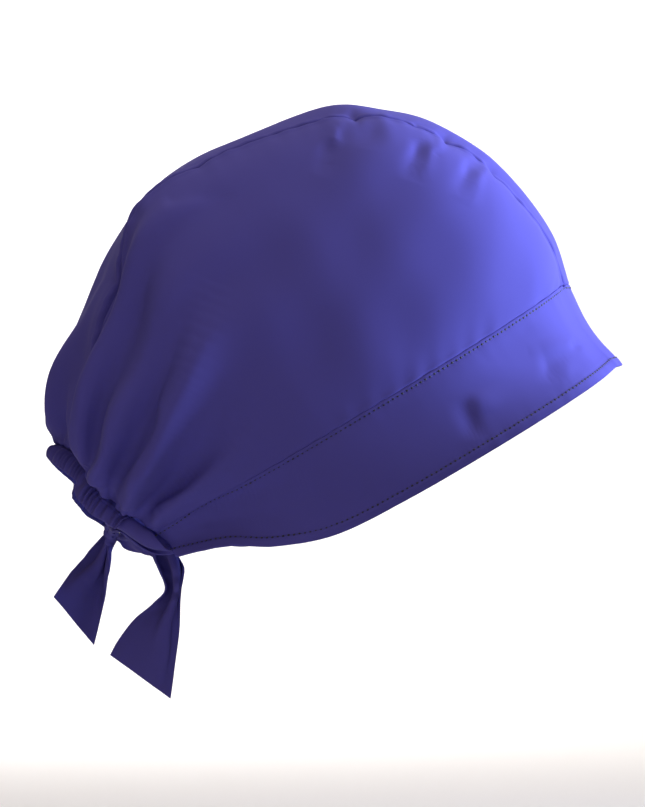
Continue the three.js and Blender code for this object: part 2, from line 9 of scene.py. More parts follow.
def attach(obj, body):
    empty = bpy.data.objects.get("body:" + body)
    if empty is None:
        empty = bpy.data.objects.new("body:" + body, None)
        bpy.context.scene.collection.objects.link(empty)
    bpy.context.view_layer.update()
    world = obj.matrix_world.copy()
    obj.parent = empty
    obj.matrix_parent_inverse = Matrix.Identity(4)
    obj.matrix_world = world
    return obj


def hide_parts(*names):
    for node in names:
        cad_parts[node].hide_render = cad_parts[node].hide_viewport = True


bl_info = {
    "name": "Scrub cap",
    "version": (1, 0, 0),
    "blender": (4, 5, 0),
    "location": "3D View > Sidebar > Scrub cap",
    "description": "Dresses the packed scrub cap in woven cloth, seams, ruching, ties and stitches",
    "category": "Object",
}

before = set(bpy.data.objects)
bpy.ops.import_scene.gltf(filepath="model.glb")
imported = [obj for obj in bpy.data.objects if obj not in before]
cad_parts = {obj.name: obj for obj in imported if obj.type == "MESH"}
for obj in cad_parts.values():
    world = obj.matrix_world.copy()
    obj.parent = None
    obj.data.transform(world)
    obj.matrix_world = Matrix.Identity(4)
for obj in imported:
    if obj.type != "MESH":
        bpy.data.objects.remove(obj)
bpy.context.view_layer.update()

# The photograph's frame, in pixels.
IMAGE_WIDTH = 645
IMAGE_HEIGHT = 807
# The camera looks at this point of the part, which falls on this pixel, where a pixel is this wide in metres.
PHOTO_CENTRE = (0.0, 0.0, -0.11)
PHOTO_CENTRE_PIXEL = (350.0, 342.0)
PIXEL_SIZE = 0.00047
# The camera's turn round the cap and its height above the horizon, in degrees, and its distance in metres.
CAMERA_AZIMUTH = -6.0
CAMERA_ELEVATION = -3.6
CAMERA_DISTANCE = 1.5
# The dark card stands in front of the cap, with its upper edge just below the light's way to the hem, in metres.
CARD_PLACE = 0.16
CARD_LOW, CARD_HIGH = -0.44, -0.13
# The room is brightest in this direction.
BRIGHT_SIDE = (0.68, 0.0, 0.73)

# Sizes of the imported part, in millimetres. Everything below is worked out in millimetres in the part's frame, and
# becomes metres where a mesh is made.
CAP_LENGTH = 268.0
CROWN_HEIGHT = 208.0
CAP_BREADTH = 172.0
STRIP_WIDTH = 76.0
STRIP_CROWN = 8.0
BAND_RUN = 190.0
BAND_DEPTH = 43.0
CASING_DEPTH = 10.5
BAND_SAG = 3.5
BELLY = 7.0
CASING_SAG = 6.5
NAPE_SAG = 12.0
TIE_LENGTH = 150.0
TIE_WIDTH = 34.0
WALL = 1.2
BAND_SLOPE = math.radians(31)
CASING_LEAN = math.radians(38)
SIDE_SWEEP = math.radians(78)
RUCHES = 46
CASING_START = 0.22
CASING_PANEL_SHARE = 0.22
HEAD_CENTRE = np.array([0.0, 0.0, -CROWN_HEIGHT / 2])
METRES = 0.001

# How finely each piece is drawn, and where extra rows lie beside its seams, in shares of its length.
PANEL_COLUMNS, PANEL_ROWS = 280, 132
STRIP_COLUMNS, STRIP_ROWS = 330, 84
BAND_COLUMNS, BAND_FRONT_COLUMNS, BAND_ROWS = 395, 60, 32
CASING_COLUMNS, CASING_ROWS = 700, 22
TIE_COLUMNS_COUNT, TIE_ROWS = 220, 61
EDGE_PLACES = (0.0, 0.0015, 0.003, 0.005, 0.0075, 0.0105, 0.014, 0.018)
BAND_EDGE_PLACES = (0.0, 0.008, 0.016, 0.025, 0.035, 0.046, 0.06, 0.08, 0.1)
CASING_TUCK_PLACES = (-0.26, -0.18, -0.1, -0.05)
RIM_ANGLES = (30, 60, 90, 120, 150)
MERGE = 1e-6

# Distances on the cloth, in millimetres.
SOFT_WRINKLE = 42.0
SEAM_WRINKLE = 9.0
SEAM_ROLL = 1.5
CASING_TUCK = 1.2
TOPSTITCH_INSET = 1.8
HEM_WIDTH = 4.0
STITCH_PITCH = 2.5
CREASE_SAMPLES = 40
PUCKER_POINT = 1.15
# Share by which painted shade darkens the cloth in the creases' valleys.
VALLEY_SHADE = 0.9


def table(columns, *rows):
    """Named columns of a short table, a row for each section or fold."""
    return dict(zip(columns.split(), np.array(rows, float).T))


# The crown's middle line from the forehead over the top to the casing, in shares of the sizes above.
CROWN = table(
    "along forward down half crown edge belly",
    (0.0, 0.386, 0.403, 0.74, 0.9, 0.0, 0.0),
    (0.065, 0.361, 0.293, 0.82, 1.2, 0.07, 0.1),
    (0.122, 0.312, 0.205, 0.88, 1.3, 0.13, 0.3),
    (0.2, 0.232, 0.101, 0.94, 1.25, 0.22, 0.5),
    (0.29, 0.122, 0.0285, 1.0, 1.2, 0.33, 0.6),
    (0.38, -0.0035, 0.0, 1.0, 1.1, 0.43, 0.6),
    (0.47, -0.128, 0.042, 1.0, 1.0, 0.53, 0.6),
    (0.6, -0.293, 0.142, 1.04, 0.6, 0.66, 0.7),
    (0.69, -0.383, 0.252, 1.08, 0.1, 0.74, 0.9),
    (0.79, -0.449, 0.408, 1.08, 1.2, 0.82, 1.1),
    (0.89, -0.501, 0.563, 1.02, 1.6, 0.9, 1.3),
    (0.96, -0.523, 0.691, 0.92, 1.7, 0.96, 1.0),
    (1.0, -0.512, 0.768, 0.82, 1.6, 1.0, 0.0),
)

# The band seam in plan, from the front corner back to the casing.
SEAM_PLAN = table(
    "back side",
    (0.0, 0.33),
    (0.05, 0.55),
    (0.12, 0.72),
    (0.25, 0.885),
    (0.4, 0.975),
    (0.55, 1.0),
    (0.7, 0.955),
    (0.85, 0.82),
    (1.0, 0.58),
)

# The band below its seam: its depth, its slant in degrees, and how its hem flares, hollows and curls.
BAND = table(
    "back depth lean flare hollow lip",
    (0.0, 1.04, 31, 0.06, 0.06, 0.0),
    (0.3, 1.02, 31, 0.03, 0.02, 0.0),
    (0.55, 0.99, 31, 0.0, 0.0, 0.0),
    (0.7, 0.92, 31, 0.0, 0.02, 0.02),
    (0.81, 0.71, 32, 0.0, 0.07, 0.05),
    (0.88, 0.49, 34, 0.0, 0.1, 0.06),
    (0.945, 0.37, 37, 0.0, 0.1, 0.06),
    (1.0, 0.32, 43, 0.0, 0.06, 0.03),
)

# Folds that fan out from the casing: where each lies at the casing and where the cloth opens out, and its height.
FOLDS = table(
    "casing open height",
    (0.0, 0.0, 0.0),
    (0.07, 0.1, 0.5),
    (0.15, 0.21, -0.75),
    (0.27, 0.34, 0.95),
    (0.36, 0.44, -0.5),
    (0.48, 0.55, 0.55),
    (0.61, 0.67, -0.85),
    (0.8, 0.77, 0.7),
    (0.92, 0.88, -0.7),
    (1.0, 1.0, 0.0),
)

# Dents where the strip's seams draw up.
PUCKERS = table(
    "along depth spread reach",
    (0.175, 1.0, 0.013, 0.05),
    (0.255, 1.15, 0.012, 0.06),
    (0.3, 0.6, 0.008, 0.03),
    (0.385, 1.25, 0.012, 0.06),
    (0.595, 0.6, 0.018, 0.05),
    (0.785, 0.9, 0.014, 0.04),
)

# The ties, each from its own rear end of the band, as the part's source has them.
TIE_COLUMNS = "along back down over width bunch slant turn"
TIE_TO_LEFT = table(
    TIE_COLUMNS,
    (0.0, 0.004, 0.0, 0.0, 0.38, 0.1, 47, 0),
    (0.06, 0.053, -0.01, 0.02, 0.32, 0.4, 85, 0),
    (0.13, 0.113, -0.05, 0.06, 0.25, 0.7, 112, 0),
    (0.2, 0.137, -0.06, 0.16, 0.22, 0.85, 100, 0),
    (0.32, 0.13, -0.066, 0.35, 0.2, 0.9, 90, 0),
    (0.44, 0.125, -0.062, 0.5, 0.2, 0.9, 90, 0),
    (0.54, 0.14, -0.052, 0.62, 0.23, 0.9, 84, 0),
    (0.62, 0.15, -0.016, 0.7, 0.25, 0.8, 66, 0),
    (0.7, 0.188, 0.061, 0.73, 0.35, 0.4, 40, 10),
    (0.82, 0.225, 0.142, 0.74, 0.57, 0.08, 36, 20),
    (1.0, 0.263, 0.242, 0.74, 0.93, 0.0, 48, 25),
)
TIE_TO_RIGHT = table(
    TIE_COLUMNS,
    (0.0, 0.004, 0.0, 0.0, 0.38, 0.1, 47, 0),
    (0.06, 0.05, -0.01, 0.02, 0.3, 0.4, 85, 0),
    (0.12, 0.08, -0.031, 0.1, 0.24, 0.7, 104, 0),
    (0.2, 0.077, -0.031, 0.22, 0.2, 0.85, 96, 0),
    (0.28, 0.064, -0.04, 0.34, 0.2, 0.9, 90, 0),
    (0.37, 0.054, -0.033, 0.46, 0.2, 0.9, 80, 0),
    (0.46, 0.041, -0.016, 0.6, 0.24, 0.9, 60, 0),
    (0.53, 0.002, 0.016, 0.7, 0.29, 0.9, 30, 0),
    (0.6, -0.024, 0.07, 0.75, 0.34, 0.9, 6, 0),
    (0.67, -0.031, 0.138, 0.755, 0.2, 0.8, 2, 0),
    (0.73, -0.013, 0.186, 0.755, 0.34, 0.4, 7, 0),
    (0.8, 0.015, 0.245, 0.755, 0.59, 0.1, 16, 0),
    (0.89, 0.045, 0.325, 0.755, 0.8, 0.0, 25, 0),
    (1.0, 0.067, 0.404, 0.755, 0.98, 0.0, 36, 0),
)


def between(rows, place, column, at):
    """A table's column at each place, on a smooth curve through its rows."""
    x, y = rows[place], rows[column]
    last = len(x) - 1
    at = np.asarray(at, float)
    i = np.searchsorted(x[1:last], at, side="left")
    before_row, after_row = np.maximum(i - 1, 0), np.minimum(i + 2, last)
    width = x[i + 1] - x[i]
    t = np.clip((at - x[i]) / width, 0, 1)
    before = (y[i + 1] - y[before_row]) / (x[i + 1] - x[before_row])
    after = (y[after_row] - y[i]) / (x[after_row] - x[i])
    rest = 1 - t
    start = y[i] * rest * rest * (1 + 2 * t) + before * width * t * rest * rest
    return start + y[i + 1] * t * t * (3 - 2 * t) - after * width * t * t * rest


def crown_row(along, column):
    return between(CROWN, "along", column, along)


def smooth(value, low, high):
    t = np.clip((value - low) / (high - low), 0, 1)
    return t * t * (3 - 2 * t)


def unit(vectors):
    length = np.linalg.norm(vectors, axis=-1, keepdims=True)
    return vectors / np.maximum(length, 1e-9)


def points(x, y, z):
    return np.stack(np.broadcast_arrays(x, y, z), -1)


def mirrored(grid):
    return grid * np.array([1.0, -1.0, 1.0])


def ridge(along):
    """The crown's middle line, on its outer face."""
    return points(CAP_LENGTH * crown_row(along, "forward"), 0.0, WALL - CROWN_HEIGHT * crown_row(along, "down"))


def ridge_out(along):
    """The direction straight out of the middle line, in the plane of symmetry."""
    step = 0.01
    run = unit(ridge(np.minimum(along + step, 1)) - ridge(np.maximum(along - step, 0)))
    return points(run[..., 2], 0.0, -run[..., 0])


def pucker(along, distance, depth):
    """How far the seam is drawn in at this section. distance is a share of the way to the piece's far edge."""
    total = np.zeros(np.broadcast(along, distance).shape)
    for place, share, spread, reach in zip(*(PUCKERS[c] for c in ("along", "depth", "spread", "reach"))):
        across = np.abs(along - place) / (spread * (1 + 9 * distance))
        total = total + share * np.exp(-(across**PUCKER_POINT)) * np.exp(-distance / reach)
    return depth * total


def strip_point(along, across, depth):
    """The crown strip. across runs from -1 at the right seam to 1 at the left one."""
    along, across = np.broadcast_arrays(np.asarray(along, float), np.asarray(across, float))
    half = STRIP_WIDTH / 2 * crown_row(along, "half")
    drop = STRIP_CROWN * crown_row(along, "crown") * across * across
    dent = pucker(along, (1 - np.abs(across)) / 2, depth)
    out = ridge_out(along)
    sag = NAPE_SAG * smooth(along, 0.85, 1) * across * across
    point = ridge(along) + out * (-drop - dent)[..., None]
    return point + points(out[..., 2] * -sag, half * across, out[..., 0] * sag)


def band_seam(back):
    """The band seam on the right side, from 0 at the front corner to 1 at the casing."""
    corner = strip_point(0.0, -1.0, 0.0)
    run = BAND_RUN * back
    share = between(SEAM_PLAN, "back", "side", back)
    first = SEAM_PLAN["side"][0]
    fair = (corner[1] + CAP_BREADTH / 2 * first) * (1 - back) ** 4
    drop = run * math.tan(BAND_SLOPE) + BAND_SAG * (share - first)
    return points(corner[0] - run, -CAP_BREADTH / 2 * share + fair, corner[2] - drop)


def side_arc(along, rise):
    """A right side panel as a plain arc, from 0 at the band seam to 1 at the strip's seam."""
    foot = band_seam(crown_row(along, "edge"))
    head = strip_point(along, -1.0, 0.0)
    lift = np.sin(rise * SIDE_SWEEP) / math.sin(SIDE_SWEEP)
    reach = (np.cos(rise * SIDE_SWEEP) - math.cos(SIDE_SWEEP)) / (1 - math.cos(SIDE_SWEEP))
    point = foot + (head - foot) * lift[..., None]
    point[..., 1] = head[..., 1] + (foot[..., 1] - head[..., 1]) * reach
    sag = CASING_SAG * smooth(along, 0.8, 1) * np.sin(np.pi * rise)
    chord = unit((head - foot) * np.array([1.0, 0.0, 1.0]))
    behind = chord[..., 0] < 0
    point[..., 0] += np.where(behind, -chord[..., 2] * sag, 0)
    point[..., 2] += np.where(behind, chord[..., 0] * sag, 0)
    return point


def arc_out(along, rise):
    """The direction straight out of the plain arc."""
    step = 0.004
    low, high = np.maximum(along - step, 0), np.minimum(along + step, 1)
    under, over = np.maximum(rise - step, 0), np.minimum(rise + step, 1)
    run = side_arc(high, rise) - side_arc(low, rise)
    climb = side_arc(along, over) - side_arc(along, under)
    out = unit(np.cross(run, climb))
    inward = np.sum(out * (side_arc(along, rise) - HEAD_CENTRE), -1) < 0
    return np.where(inward[..., None], -out, out)


def rise_of(along, gather):
    gathered = smooth(along, 0.6, 1)
    opened = between(FOLDS, "casing", "open", gather)
    return opened + (gather - opened) * gathered


def fold(along, gather, depth):
    grown = smooth(along, 0.52, 0.94)
    drawn = 1 - 0.7 * smooth(along, 0.93, 1)
    return depth * between(FOLDS, "casing", "height", gather) * grown * drawn


def side_point(along, gather, shape):
    """The right side panel with its belly, folds and puckers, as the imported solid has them."""
    along, gather = np.broadcast_arrays(np.asarray(along, float), np.asarray(gather, float))
    rise = rise_of(along, gather)
    out = arc_out(np.maximum(along, 0.02), rise)
    swell = BELLY * crown_row(along, "belly") * np.sin(np.pi * rise)
    relief = swell + fold(along, gather, shape.fold_depth / METRES)
    beside = np.exp(-(1 - rise) / 0.05)[..., None]
    inward = -unit(out + (ridge_out(along) - out) * beside)
    dent = pucker(along, 1 - rise, shape.pucker_depth / METRES)
    return side_arc(along, rise) + out * relief[..., None] + inward * dent[..., None]


# Gathers of a tie along its length: how many there are across it, and the share of their full depth.
TIE_GATHERS = table(
    "along count depth",
    (0.0, 0.8, 0.2),
    (0.1, 1.3, 0.75),
    (0.25, 1.7, 1.0),
    (0.5, 1.7, 1.0),
    (0.66, 1.5, 0.85),
    (0.74, 1.2, 0.65),
    (0.85, 0.9, 0.35),
    (1.0, 0.7, 0.15),
)

# Creases of the panels and the band, placed as the camera sees them: each runs through its rows, with its height and
# how far it spreads to its back and to its front, in millimetres.
CREASE_COLUMNS = "x z height back front"
PANEL_CREASES = {
    "ridge_beside_strip": table(
        CREASE_COLUMNS,
        (-125, -174, 1.0, 2.0, 4),
        (-127, -158, 1.6, 2.2, 5),
        (-127.5, -142, 1.2, 2.5, 6),
        (-125, -120, 0.0, 3, 6),
    ),
    "rear_valley": table(
        CREASE_COLUMNS,
        (-122.7, -171.5, -1.6, 2, 2.2),
        (-121, -163, -2.4, 2.5, 2.5),
        (-118.9, -147, -2.2, 4, 3),
        (-113.3, -132, -1.2, 6, 5),
        (-106, -114, 0.0, 8, 8),
    ),
    "rear_ridge": table(
        CREASE_COLUMNS,
        (-119.9, -180.5, 0.8, 1.3, 2),
        (-122.2, -172.5, 2.0, 1.4, 3.5),
        (-118, -165.9, 2.1, 1.6, 5),
        (-113.3, -153.7, 1.6, 2.2, 7),
        (-110.9, -142.4, 1.2, 4, 8),
        (-106, -126, 0.0, 6, 10),
    ),
    "middle_valley": table(
        CREASE_COLUMNS,
        (-113.3, -184.7, -1.4, 2, 1.8),
        (-111.4, -175.8, -2.0, 3, 2.4),
        (-104, -165, -2.6, 5, 3),
        (-96, -152.3, -2.0, 6, 4),
        (-91, -138, -1.0, 7, 5),
        (-86, -122, 0.0, 8, 6),
    ),
    "main_ridge": table(
        CREASE_COLUMNS,
        (-108.1, -189.4, 1.0, 1.3, 3.5),
        (-104.3, -183.3, 2.2, 1.5, 5),
        (-102.5, -175.8, 3.0, 1.7, 6),
        (-96.8, -169.2, 3.1, 2, 7),
        (-92.1, -160.3, 2.9, 2.2, 8),
        (-87.9, -149, 2.6, 2.8, 9),
        (-85.5, -135.8, 2.2, 3.6, 10),
        (-80.4, -125, 1.6, 5, 10),
        (-71, -101, 0.8, 7, 11),
        (-63, -80, 0.0, 8, 12),
    ),
    "front_valley": table(
        CREASE_COLUMNS,
        (-97.8, -188.9, -1.4, 2.5, 2),
        (-93.5, -185.7, -2.0, 3, 3),
        (-83.7, -178.1, -2.8, 4.5, 4),
        (-72.4, -167.8, -2.6, 6, 5),
        (-61.1, -159.3, -1.8, 8, 7),
        (-40, -144.3, -0.7, 11, 9),
        (-24, -134, 0.0, 12, 12),
    ),
    "ridge_over_band": table(
        CREASE_COLUMNS,
        (-91.2, -196.9, 1.0, 2, 2.5),
        (-90.7, -189, 1.6, 2, 3),
        (-88.8, -186.1, 1.6, 2.5, 3),
        (-76.6, -180, 1.3, 3, 4),
        (-61.1, -168.3, 0.6, 5, 5),
        (-48, -158, 0.0, 6, 6),
    ),
    "dent_at_top": table(
        CREASE_COLUMNS,
        (-8.9, -14.1, 0.0, 5, 3),
        (-10.3, -18.8, -1.5, 6, 3),
        (-12.2, -24.4, -0.9, 7, 4),
        (-14.6, -31.5, 0.0, 8, 5),
    ),
    "rise_at_top": table(
        CREASE_COLUMNS,
        (-5.2, -8.9, 0.5, 2.5, 4),
        (-7, -12.2, 1.0, 2.5, 5),
        (-7.5, -18.3, 0.7, 3, 6),
        (-8.9, -26.8, 0.0, 4, 7),
    ),
    "dent_at_bend": table(
        CREASE_COLUMNS,
        (32.9, -14.1, 0.0, 5, 3),
        (32, -19.7, -1.7, 7, 3),
        (29.6, -25.9, -1.0, 8, 4),
        (26.8, -33.8, 0.0, 9, 5),
    ),
    "dent_beside_top": table(
        CREASE_COLUMNS,
        (9.9, -4.7, 0.0, 5, 5),
        (9.4, -11.3, -0.8, 6, 6),
        (8, -19.7, 0.0, 7, 7),
    ),
    "rise_at_bend": table(
        CREASE_COLUMNS,
        (40.9, -18.3, 0.7, 2.5, 4),
        (37.6, -20.2, 1.1, 3, 5),
        (36.2, -25.9, 0.7, 3.5, 6),
        (33.4, -34.8, 0.0, 4, 7),
    ),
    "dent_at_forehead": table(
        CREASE_COLUMNS,
        (58.3, -22.6, 0.0, 5, 3),
        (56.4, -28.2, -1.6, 6, 3),
        (54, -34.3, -0.9, 7, 4),
        (51.2, -41.8, 0.0, 8, 5),
    ),
    "rise_at_forehead": table(
        CREASE_COLUMNS,
        (63, -30.1, 0.7, 2.5, 4),
        (60.6, -32.9, 1.1, 3, 5),
        (58.7, -39.5, 0.6, 3.5, 6),
        (55.5, -47, 0.0, 4, 7),
    ),
    "fold_behind_crown": table(
        CREASE_COLUMNS,
        (-84, -43, -0.9, 3, 3),
        (-72, -40, -0.8, 5, 4),
        (-52, -42, 0.0, 8, 7),
    ),
}
BAND_CREASES = {
    "rear_hollow": table(
        CREASE_COLUMNS,
        (-87, -189.9, -3.0, 3, 3),
        (-75.2, -188.9, -2.7, 3.5, 3.5),
        (-56.4, -184.2, -1.9, 4, 4),
        (-37.6, -178.6, -0.9, 5, 5),
        (-20, -173, 0.0, 6, 6),
    ),
    "rear_lip": table(
        CREASE_COLUMNS,
        (-87.9, -203, 0.8, 3, 3),
        (-75.2, -198.8, 1.0, 3, 3.5),
        (-56.4, -196.9, 0.6, 3, 4),
        (-32.9, -194.6, 0.0, 4, 4),
    ),
    "middle_dent": table(
        CREASE_COLUMNS,
        (59.2, -156, 0.0, 5, 4),
        (57.3, -148.5, -1.3, 5, 4),
        (54.5, -141.9, -0.9, 5, 4),
        (52.6, -136, 0.0, 5, 4),
    ),
    "middle_rise": table(
        CREASE_COLUMNS,
        (63, -144.8, 0.0, 5, 7),
        (61.6, -138.2, 0.8, 5, 8),
        (59.7, -131.6, 0.0, 5, 8),
    ),
    "front_dent": table(
        CREASE_COLUMNS,
        (91.7, -114.7, -0.4, 12, 3.5),
        (94, -121.3, -1.1, 14, 3.5),
        (93.5, -129.7, 0.0, 14, 4),
    ),
    "front_rise": table(
        CREASE_COLUMNS,
        (101.5, -116.6, 0.0, 4, 6),
        (101.5, -123.1, 0.8, 4, 7),
        (99.2, -130.7, 0.0, 4, 7),
    ),
    "front_streak": table(
        CREASE_COLUMNS,
        (83.7, -114.7, 0.0, 3, 4),
        (93, -111.9, 0.6, 3, 4),
        (101.5, -110.5, 0.4, 3, 4),
        (108, -111.4, 0.0, 3, 4),
    ),
    "front_notch": table(
        CREASE_COLUMNS,
        (102.9, -109.5, 0.0, 2.5, 2.5),
        (105.8, -111.4, -0.8, 2.5, 2.5),
        (108.6, -113.7, 0.0, 2.5, 2.5),
    ),
}


def seen(grid):
    """Where the camera sees points of the right side, in millimetres across and up from the part's origin."""
    away = grid - np.array(PHOTO_CENTRE) / METRES
    turn, lift = math.radians(CAMERA_AZIMUTH), math.radians(CAMERA_ELEVATION)
    across = away @ np.array([math.cos(turn), math.sin(turn), 0.0])
    up = away @ np.array([-math.sin(turn) * math.sin(lift), math.cos(turn) * math.sin(lift), math.cos(lift)])
    near = away @ np.array([math.sin(turn) * math.cos(lift), -math.cos(turn) * math.cos(lift), math.sin(lift)])
    scale = CAMERA_DISTANCE / (CAMERA_DISTANCE - near * METRES)
    return across * scale, up * scale + PHOTO_CENTRE[2] / METRES


def along_creases(grid, creases):
    """How far the creases lift a surface."""
    total = np.zeros(grid.shape[:2])
    x, z = seen(grid)
    for crease in creases.values():
        rows = dict(crease, row=np.arange(len(crease["x"])))
        at = np.linspace(0, len(crease["x"]) - 1, CREASE_SAMPLES)
        line = {column: between(rows, "row", column, at) for column in crease}
        way_x, way_z = np.gradient(line["x"]), np.gradient(line["z"])
        length = np.hypot(way_x, way_z)
        nearest = np.full(total.shape, 1e9)
        lift = np.zeros(total.shape)
        for k in range(CREASE_SAMPLES):
            from_x, from_z = x - line["x"][k], z - line["z"][k]
            away = np.hypot(from_x, from_z)
            side = (way_x[k] * from_z - way_z[k] * from_x) / (length[k] * np.maximum(away, 0.01))
            width = line["front"][k] + (line["back"][k] - line["front"][k]) * (1 + side) / 2
            value = line["height"][k] * np.exp(-((away / width) ** 2))
            lift = np.where(away < nearest, value, lift)
            nearest = np.minimum(nearest, away)
        total += lift
    return total


def ripples(places, size, seed, count=18):
    """A smooth random surface of about unit height, with its dents about as far apart as size."""
    rng = np.random.default_rng(seed)
    total = np.zeros(places.shape[:-1])
    for _ in range(count):
        way = rng.normal(size=places.shape[-1])
        way *= 2 * np.pi / (size * rng.uniform(0.7, 1.5)) / np.linalg.norm(way)
        total += np.cos(places @ way + rng.uniform(0, 2 * np.pi))
    return total / math.sqrt(count / 2)


def arc_lengths(grid, axis):
    """The distance in millimetres from the grid's first row or column."""
    steps = np.linalg.norm(np.diff(grid, axis=axis), axis=-1)
    start = np.zeros_like(np.take(steps, [0], axis=axis))
    return np.concatenate([start, np.cumsum(steps, axis=axis)], axis=axis)


def facing(grid, inside):
    """The outward direction at each point of a grid."""
    out = unit(np.cross(np.gradient(grid, axis=0), np.gradient(grid, axis=1)))
    return -out if np.sum(out * (grid - inside)) < 0 else out


def lifted(grid, inside, relief):
    return grid + facing(grid, inside) * relief[..., None]


def seam_roll(distance, depth, width, puff):
    """The cloth turns down into a seam, and stands a little proud just beside it."""
    turned = np.clip(1 - distance / width, 0, 1)
    return puff * np.exp(-(((distance - 1.6 * width) / width) ** 2)) - depth * turned * turned


def crowded(count, edge):
    """Even places from 0 to 1, with some more close to both ends."""
    edge = np.asarray(edge)
    return np.unique(np.concatenate([edge, 1 - edge, np.linspace(edge[-1], 1 - edge[-1], count)]))


def new_piece(name, vertices, faces, layout, wear_and_highlight, sunk):
    """A mesh object in metres at the frame's origin. layout is each vertex's place on the flat cloth."""
    mesh = bpy.data.meshes.new(name)
    mesh.from_pydata((vertices * METRES).tolist(), [], faces)
    corners = np.zeros(len(mesh.loops), int)
    mesh.loops.foreach_get("vertex_index", corners)
    uv = mesh.uv_layers.new(name="Cloth")
    uv.data.foreach_set("uv", (layout * METRES)[corners].ravel())
    # Each vertex carries two colour marks: a paler one, partly abrasion at edges and partly painted highlight on
    # raised lips and gather crests, and the sunk one, painted shade.
    for title, values in (("wear_and_highlight", wear_and_highlight), ("sunk", sunk)):
        marks = mesh.attributes.new(title, "FLOAT", "POINT")
        marks.data.foreach_set("value", values.astype(np.float32))
    bm = bmesh.new()
    bm.from_mesh(mesh)
    bmesh.ops.remove_doubles(bm, verts=bm.verts, dist=MERGE)
    bmesh.ops.recalc_face_normals(bm, faces=bm.faces)
    bm.to_mesh(mesh)
    bm.free()
    mesh.polygons.foreach_set("use_smooth", [True] * len(mesh.polygons))
    piece = bpy.data.objects.new(name, mesh)
    bpy.context.scene.collection.objects.link(piece)
    return piece


def rim(outer, inner, before, thickness):
    """Rows round a folded edge, from the outer face to the inner one."""
    beyond = unit(outer - before)
    middle, half = (outer + inner) / 2, (outer - inner) / 2
    return [middle + half * math.cos(a) + beyond * math.sin(a) * thickness / 2 for a in np.radians(RIM_ANGLES)]


def shell(name, outer, layout, wear_and_highlight, thickness, inside, round_first=False, round_last=False, sunk=None):
    """A closed wall of cloth. Rows run across the piece, and its first and last row may be folded edges."""
    sunk = np.zeros_like(wear_and_highlight) if sunk is None else sunk
    rows, columns = outer.shape[:2]
    inner = outer - facing(outer, inside) * thickness
    last = rim(outer[-1], inner[-1], outer[-2], thickness) if round_last else []
    first = rim(outer[0], inner[0], outer[1], thickness)[::-1] if round_first else []
    rings = [*outer, *last, *inner[::-1], *first]
    flat = [*layout, *([layout[-1]] * len(last)), *layout[::-1], *([layout[0]] * len(first))]
    # Folded edges take the full paler mark and the inner face none; the sunk mark of painted shade is copied onto the
    # inner face and the folded edges.
    edge = np.ones(columns)
    marks = [*wear_and_highlight, *([edge] * len(last)), *(wear_and_highlight[::-1] * 0), *([edge] * len(first))]
    painted_shades = [*sunk, *([sunk[-1]] * len(last)), *sunk[::-1], *([sunk[0]] * len(first))]
    count = len(rings)
    index = np.arange(count * columns).reshape(count, columns)
    after = np.roll(index, -1, axis=0)
    faces = np.stack([index[:, :-1], index[:, 1:], after[:, 1:], after[:, :-1]], -1).reshape(-1, 4).tolist()
    for line in (index[:, 0].tolist(), index[:, -1].tolist()):
        inward = line[rows + len(last):2 * rows + len(last)][::-1]
        faces += [[line[k], line[k + 1], inward[k + 1], inward[k]] for k in range(rows - 1)]
        if last:
            faces.append(line[rows - 1:rows + len(last) + 1])
        if first:
            faces.append([*line[2 * rows + len(last) - 1:], line[0]])
    vertices = np.concatenate([np.asarray(ring)[None] for ring in rings]).reshape(-1, 3)
    flat = np.concatenate(flat).reshape(-1, 2)
    return new_piece(name, vertices, faces, flat, np.concatenate(marks), np.concatenate(painted_shades))


